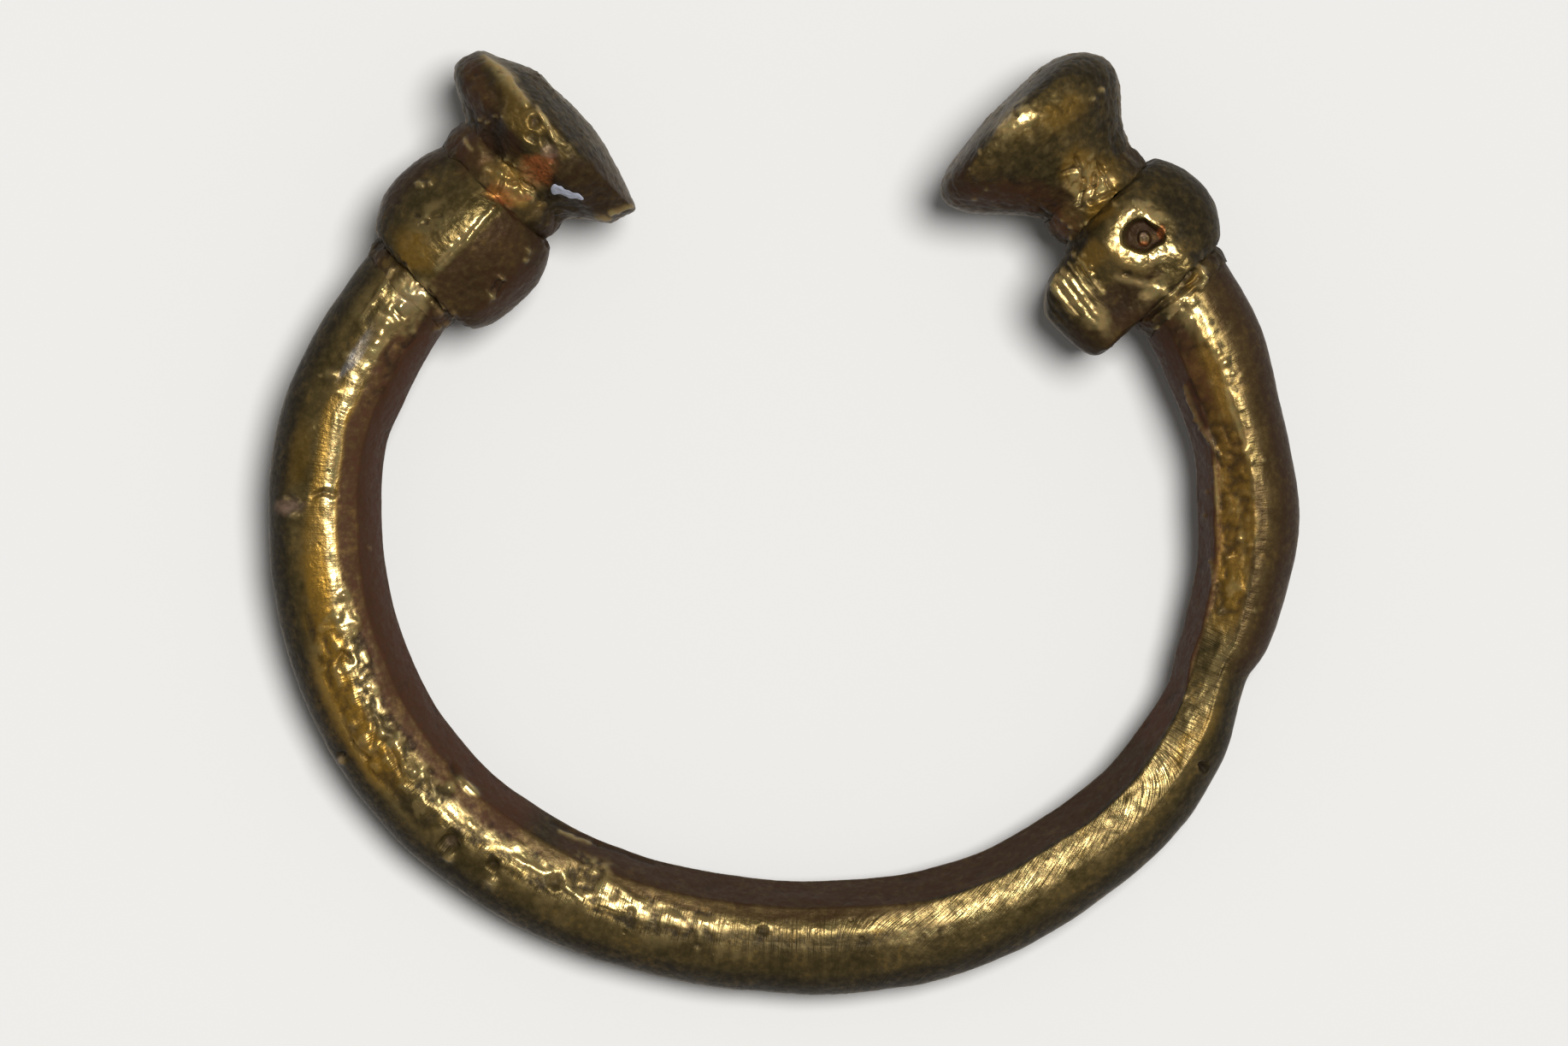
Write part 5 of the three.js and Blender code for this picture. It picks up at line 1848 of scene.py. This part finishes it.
def hoop_seam(sizes, side_name):
    """Place of the seam beside the hoop along its end's axis, and its middle and half sizes across."""
    station = along(HOOP_STATION_SHARES, np.array([ENDS[side_name][0]]))[0]
    half_y = sizes.hoop_thickness / 2 / MM * station[THICKNESS]
    half_z = sizes.hoop_height / 2 / MM * station[HEIGHT]
    return sizes.braze_thickness / MM / 2, 0.0, half_y, half_z


def neck_seam(sizes, side_name):
    """Place of the seam at a flare's neck along its end's axis, and its middle and half sizes across."""
    side, table, _ = FLARES[side_name]
    half_width = end_size(sizes, side_name, "flare_half_width")
    shift = end_size(sizes, side_name, "flare_shift")
    outer = half_width * table[0, OUTER_EDGE] + shift
    inner = half_width * table[0, INNER_EDGE] + shift
    half_z = sizes.flare_half_height / MM * table[0, FLARE_HEIGHT]
    place = 1.5 * sizes.braze_thickness / MM + end_size(sizes, side_name, "knob_length")
    return place + NECK_COLLAR_SHIFT, side * (outer + inner) / 2, (outer - inner) / 2, half_z


def braze_collar(sizes, side_name, seam, spread, swell, seed):
    """Lumpy collar of brazing metal round a seam."""
    middle_x, middle_y, half_y, half_z = seam
    around = np.linspace(0, 2 * math.pi, BRAZE_ROUND_POINTS, endpoint=False)[:, None]
    tube = np.linspace(0, 2 * math.pi, BRAZE_TUBE_POINTS, endpoint=False)[None, :]
    wheel = np.stack([np.zeros_like(around), np.cos(around), np.sin(around)], axis=-1)
    wheel = wheel * WHEEL_RADIUS + seed
    width = spread * (1 + BRAZE_WIDTH_WANDER * noise(wheel, "braze width", more_seed=seed))
    rise = swell * (1 + BRAZE_RISE_WANDER * noise(wheel, "braze rise", more_seed=seed))
    up = np.sin(tube)
    outside = (rise + BRAZE_FOOT) * up * up - BRAZE_FOOT
    height = np.where(up > 0, outside, BRAZE_SINK_SHARE * swell * up - BRAZE_FOOT)
    points = np.zeros((BRAZE_ROUND_POINTS, BRAZE_TUBE_POINTS, 3))
    points[..., 0] = middle_x + width * np.cos(tube)
    points[..., 1] = middle_y + (half_y + height) * np.cos(around)
    points[..., 2] = (half_z + height) * np.sin(around)
    return to_rest(sizes, from_end(sizes, side_name, points))


class RING_OT_brazes(bpy.types.Operator):
    """Make the brazing metal in the four seams"""

    bl_idname = "ring.brazes"
    bl_label = "Brazing Metal"

    def execute(self, context):
        sizes = context.scene.ring_sizes
        for side_name, neighbour, spread_share, swell_share, seed, dull in SEAM_SHARES:
            find_seam = hoop_seam if neighbour == "hoop" else neck_seam
            spread = spread_share * sizes.braze_spread / MM
            swell = swell_share * sizes.braze_swell / MM
            collar = braze_collar(sizes, side_name, find_seam(sizes, side_name), spread, swell, seed)
            self.finish_seam(context, f"{side_name}_{neighbour}_braze", collar, seed, dull)
        return {"FINISHED"}

    def finish_seam(self, context, node, collar, seed, dull):
        sizes = context.scene.ring_sizes
        normals = grid_normals(collar, collar.mean(axis=1, keepdims=True))
        lift, hollow, raised = mark_lift(sizes, collar, normals)
        lift += BRAZE_LUMP_HEIGHT * noise(collar, "braze lumps", 3, more_seed=seed)
        lift += BRAZE_GRAIN_HEIGHT * noise(collar, "braze grain", 3, more_seed=seed)
        collar = collar + normals * lift[..., None]
        masks = stain_masks(sizes, collar, normals)
        patches = BRAZE_PATCHINESS * noise(collar, "braze patches", more_seed=seed)
        patches = smooth_step(0.5 + patches)
        # Painted shade on the steep sides, and dark tarnish in random patches.
        masks["shade_and_tarnish"] = np.maximum(steep_sides(normals), BRAZE_TARNISH * patches)
        brown = BRAZE_UMBER * dull * (1 - masks["amber"]) * (1 - 0.7 * patches)
        masks["umber"] = np.maximum(masks["umber"], brown)
        proud = lift - grid_blur(lift, BRAZE_BLUR_REACH)
        rubbed = BRAZE_RUBBING * smooth_step(proud / BRAZE_PROUD_HEIGHT - 0.1)
        # Painted glints as rubbed metal, partly real wear.
        crest_and_glint = BRAZE_CREST_RUBBING * masks["crest_and_glint"]
        masks["worn"] = np.maximum(np.maximum(rubbed, raised), crest_and_glint)
        sunk = smooth_step(-proud / BRAZE_PROUD_HEIGHT - 0.2)
        masks["soiled"] = BRAZE_DIRT * np.maximum(sunk, hollow)
        masks["filed"] = np.zeros(collar.shape[:-1])
        points, faces = ring_tube(collar)
        lay = np.zeros(collar.shape)
        add_piece(node, cuprite_braze(context), points, faces, masks, lay)


# The pale crust

CRUST_START = (646, 222)
CRUST_END = (684, 235)
CRUST_ROWS = 40
CRUST_COLUMNS = 28
CRUST_PROBE_HEIGHT = 20
CRUST_HALF_HEIGHT = 0.05
CRUST_LIFT = 0.02
CRUST_NARROWING = 0.62
CRUST_RAGGEDNESS = 0.6
CRUST_DRIFT = 0.25
CRUST_ROUGHNESS = 0.6


def crust_width_share(part, around):
    """Share of the crust's half width at a part of its length and a turn round it, and its taper."""
    taper = (1.0 - CRUST_NARROWING * part**0.7) * math.sqrt(max(1 - (2 * part - 1) ** 6, 0.02))
    side = 1.0 if math.cos(around) > 0 else -1.0
    edge_place = np.array([[part * 3.0, side * 5.0, 2.0]])
    drift_place = np.array([[part * 2.0, 9.0, 4.0]])
    ragged = 1 + CRUST_RAGGEDNESS * noise(edge_place, "crust edge")[0]
    drift = CRUST_DRIFT * noise(drift_place, "crust drift")[0]
    return taper * (ragged * math.cos(around) + drift), taper


class RING_OT_crust(bpy.types.Operator):
    """Make the pale crust that clings to the left flare near its neck"""

    bl_idname = "ring.crust"
    bl_label = "Pale Crust"

    def execute(self, context):
        sizes = context.scene.ring_sizes
        flare = bpy.data.objects["left_flared_terminal_dressed"]
        start = Vector((*from_photo(sizes, *CRUST_START), CRUST_PROBE_HEIGHT)) * MM
        end = Vector((*from_photo(sizes, *CRUST_END), CRUST_PROBE_HEIGHT)) * MM
        sideways = (end - start).cross(Vector((0, 0, 1))).normalized()
        points = []
        for row in range(CRUST_ROWS):
            part = row / (CRUST_ROWS - 1)
            for column in range(CRUST_COLUMNS):
                around = 2 * math.pi * column / CRUST_COLUMNS
                width_share, taper = crust_width_share(part, around)
                place = start.lerp(end, part) + sideways * (sizes.crust_width / 2 * width_share)
                hit, spot, _, _ = flare.ray_cast(place, Vector((0, 0, -1)))
                if not hit:
                    raise RuntimeError("the pale crust has no metal under it")
                height = CRUST_HALF_HEIGHT * taper * math.sin(around) + CRUST_LIFT
                points.append([spot.x, spot.y, spot.z + height * MM])
        faces = wrapped_quads(CRUST_ROWS, CRUST_COLUMNS, CRUST_ROWS - 1).tolist()
        last_row = (CRUST_ROWS - 1) * CRUST_COLUMNS
        faces.append(list(range(CRUST_COLUMNS))[::-1])
        faces.append(list(range(last_row, last_row + CRUST_COLUMNS)))
        made = add_mesh("pale_crust", np.array(points), faces)
        made.data.materials.append(crust_material(context))
        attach(made, BODY)
        return {"FINISHED"}


def crust_material(context):
    """Material of the pale crust."""
    material, tree, shader = new_material("Pale Crust")
    shader["Base Color"].default_value = (*context.scene.ring_finish.crust, 1)
    shader["Roughness"].default_value = CRUST_ROUGHNESS
    grain = place_group(tree, "Cast Grain", {
        "Grain Size": 0.08,
        "Pinhole Size": 0.2,
        "Grain Height": 0.01,
    })
    bump(tree, shader, grain["Height"])
    return material


# The stage

FLOOR_HALF_SIZE = 3.0
FLOOR_ROUGHNESS = 0.9
FLOOR_GLOSS = 0.1
BACKDROP_STRENGTH = 0.9
CAMERA_SENSOR_WIDTH = 36
CAMERA_CLIP = (0.01, 20)


def add_floor(context, studio):
    """Pale floor that runs out of the picture on every side."""
    edge = FLOOR_HALF_SIZE
    mesh = bpy.data.meshes.new("floor")
    corners = [(-edge, -edge, 0), (edge, -edge, 0), (edge, edge, 0), (-edge, edge, 0)]
    mesh.from_pydata(corners, [], [(0, 1, 2, 3)])
    floor = bpy.data.objects.new("floor", mesh)
    context.scene.collection.objects.link(floor)
    material, _, shader = new_material("Pale Floor")
    shader["Base Color"].default_value = (*studio.floor_colour, 1)
    shader["Roughness"].default_value = FLOOR_ROUGHNESS
    shader["Specular IOR Level"].default_value = FLOOR_GLOSS
    floor.data.materials.append(material)


def add_key_lamp(context, studio):
    """Broad soft lamp that stands a little off the camera's line."""
    lamp = bpy.data.lights.new("soft_key", "SUN")
    lamp.energy = studio.key_strength
    lamp.angle = studio.key_spread
    key = bpy.data.objects.new("soft_key", lamp)
    key.rotation_euler = (studio.key_tilt, 0, studio.key_turn)
    context.scene.collection.objects.link(key)


def add_room(context, studio):
    """Even light of the room, with a pale backdrop where the camera looks past the floor."""
    world = bpy.data.worlds.new("room")
    context.scene.world = world
    world.use_nodes = True
    tree = world.node_tree
    background = tree.nodes["Background"]
    path = tree.nodes.new("ShaderNodeLightPath")
    seen = product(tree, path.outputs["Is Camera Ray"], BACKDROP_STRENGTH - studio.room_strength)
    tree.links.new(added(tree, seen, studio.room_strength), background.inputs["Strength"])
    background.inputs["Color"].default_value = (1, 1, 1, 1)


def add_camera(context, studio):
    """Camera straight above the middle of the photograph."""
    camera = bpy.data.cameras.new("camera")
    camera.sensor_width = CAMERA_SENSOR_WIDTH
    width = PHOTO_WIDTH / PHOTO_PIXELS_PER_MM * MM
    camera.lens = camera.sensor_width * (studio.camera_height - studio.focus_height) / width
    camera.clip_start, camera.clip_end = CAMERA_CLIP
    eye = bpy.data.objects.new("camera", camera)
    x, y = from_photo(context.scene.ring_sizes, PHOTO_WIDTH / 2, PHOTO_HEIGHT / 2)
    eye.location = (x * MM, y * MM, studio.camera_height)
    context.scene.collection.objects.link(eye)
    context.scene.camera = eye


class RING_OT_stage(bpy.types.Operator):
    """Make the pale floor, the soft lights and the camera"""

    bl_idname = "ring.stage"
    bl_label = "Stage"

    def execute(self, context):
        studio = context.scene.ring_studio
        add_floor(context, studio)
        add_key_lamp(context, studio)
        add_room(context, studio)
        add_camera(context, studio)
        context.scene.view_settings.view_transform = "Standard"
        return {"FINISHED"}


class RING_PT_panel(bpy.types.Panel):
    """Panel that lists the ring's pieces and its sizes"""

    bl_idname = "RING_PT_panel"
    bl_label = "Open Finger Ring"
    bl_space_type = "VIEW_3D"
    bl_region_type = "UI"
    bl_category = "Ring"

    def draw(self, context):
        layout = self.layout
        for operator in OPERATORS:
            layout.operator(operator.bl_idname)
        for group in (context.scene.ring_sizes, context.scene.ring_finish, context.scene.ring_studio):
            box = layout.box()
            for name in group.__annotations__:
                box.prop(group, name)


OPERATORS = [
    RING_OT_hoop,
    RING_OT_left_knob,
    RING_OT_right_knob,
    RING_OT_flares,
    RING_OT_brazes,
    RING_OT_crust,
    RING_OT_stage,
]
CLASSES = [RingSizes, RingFinish, RingStudio, *OPERATORS, RING_PT_panel]


def register():
    """Registers the classes and hangs the properties on the scene."""
    for item in CLASSES:
        bpy.utils.register_class(item)
    bpy.types.Scene.ring_sizes = bpy.props.PointerProperty(type=RingSizes)
    bpy.types.Scene.ring_finish = bpy.props.PointerProperty(type=RingFinish)
    bpy.types.Scene.ring_studio = bpy.props.PointerProperty(type=RingStudio)


def unregister():
    """Takes the properties and the classes away again."""
    del bpy.types.Scene.ring_studio
    del bpy.types.Scene.ring_finish
    del bpy.types.Scene.ring_sizes
    for item in reversed(CLASSES):
        bpy.utils.unregister_class(item)


def main():
    """Makes the ring and its stage."""
    register()
    bpy.ops.ring.hoop()
    bpy.ops.ring.left_knob()
    bpy.ops.ring.right_knob()
    bpy.ops.ring.flares()
    bpy.ops.ring.brazes()
    bpy.ops.ring.crust()
    bpy.ops.ring.stage()


if __name__ == "__main__":
    main()
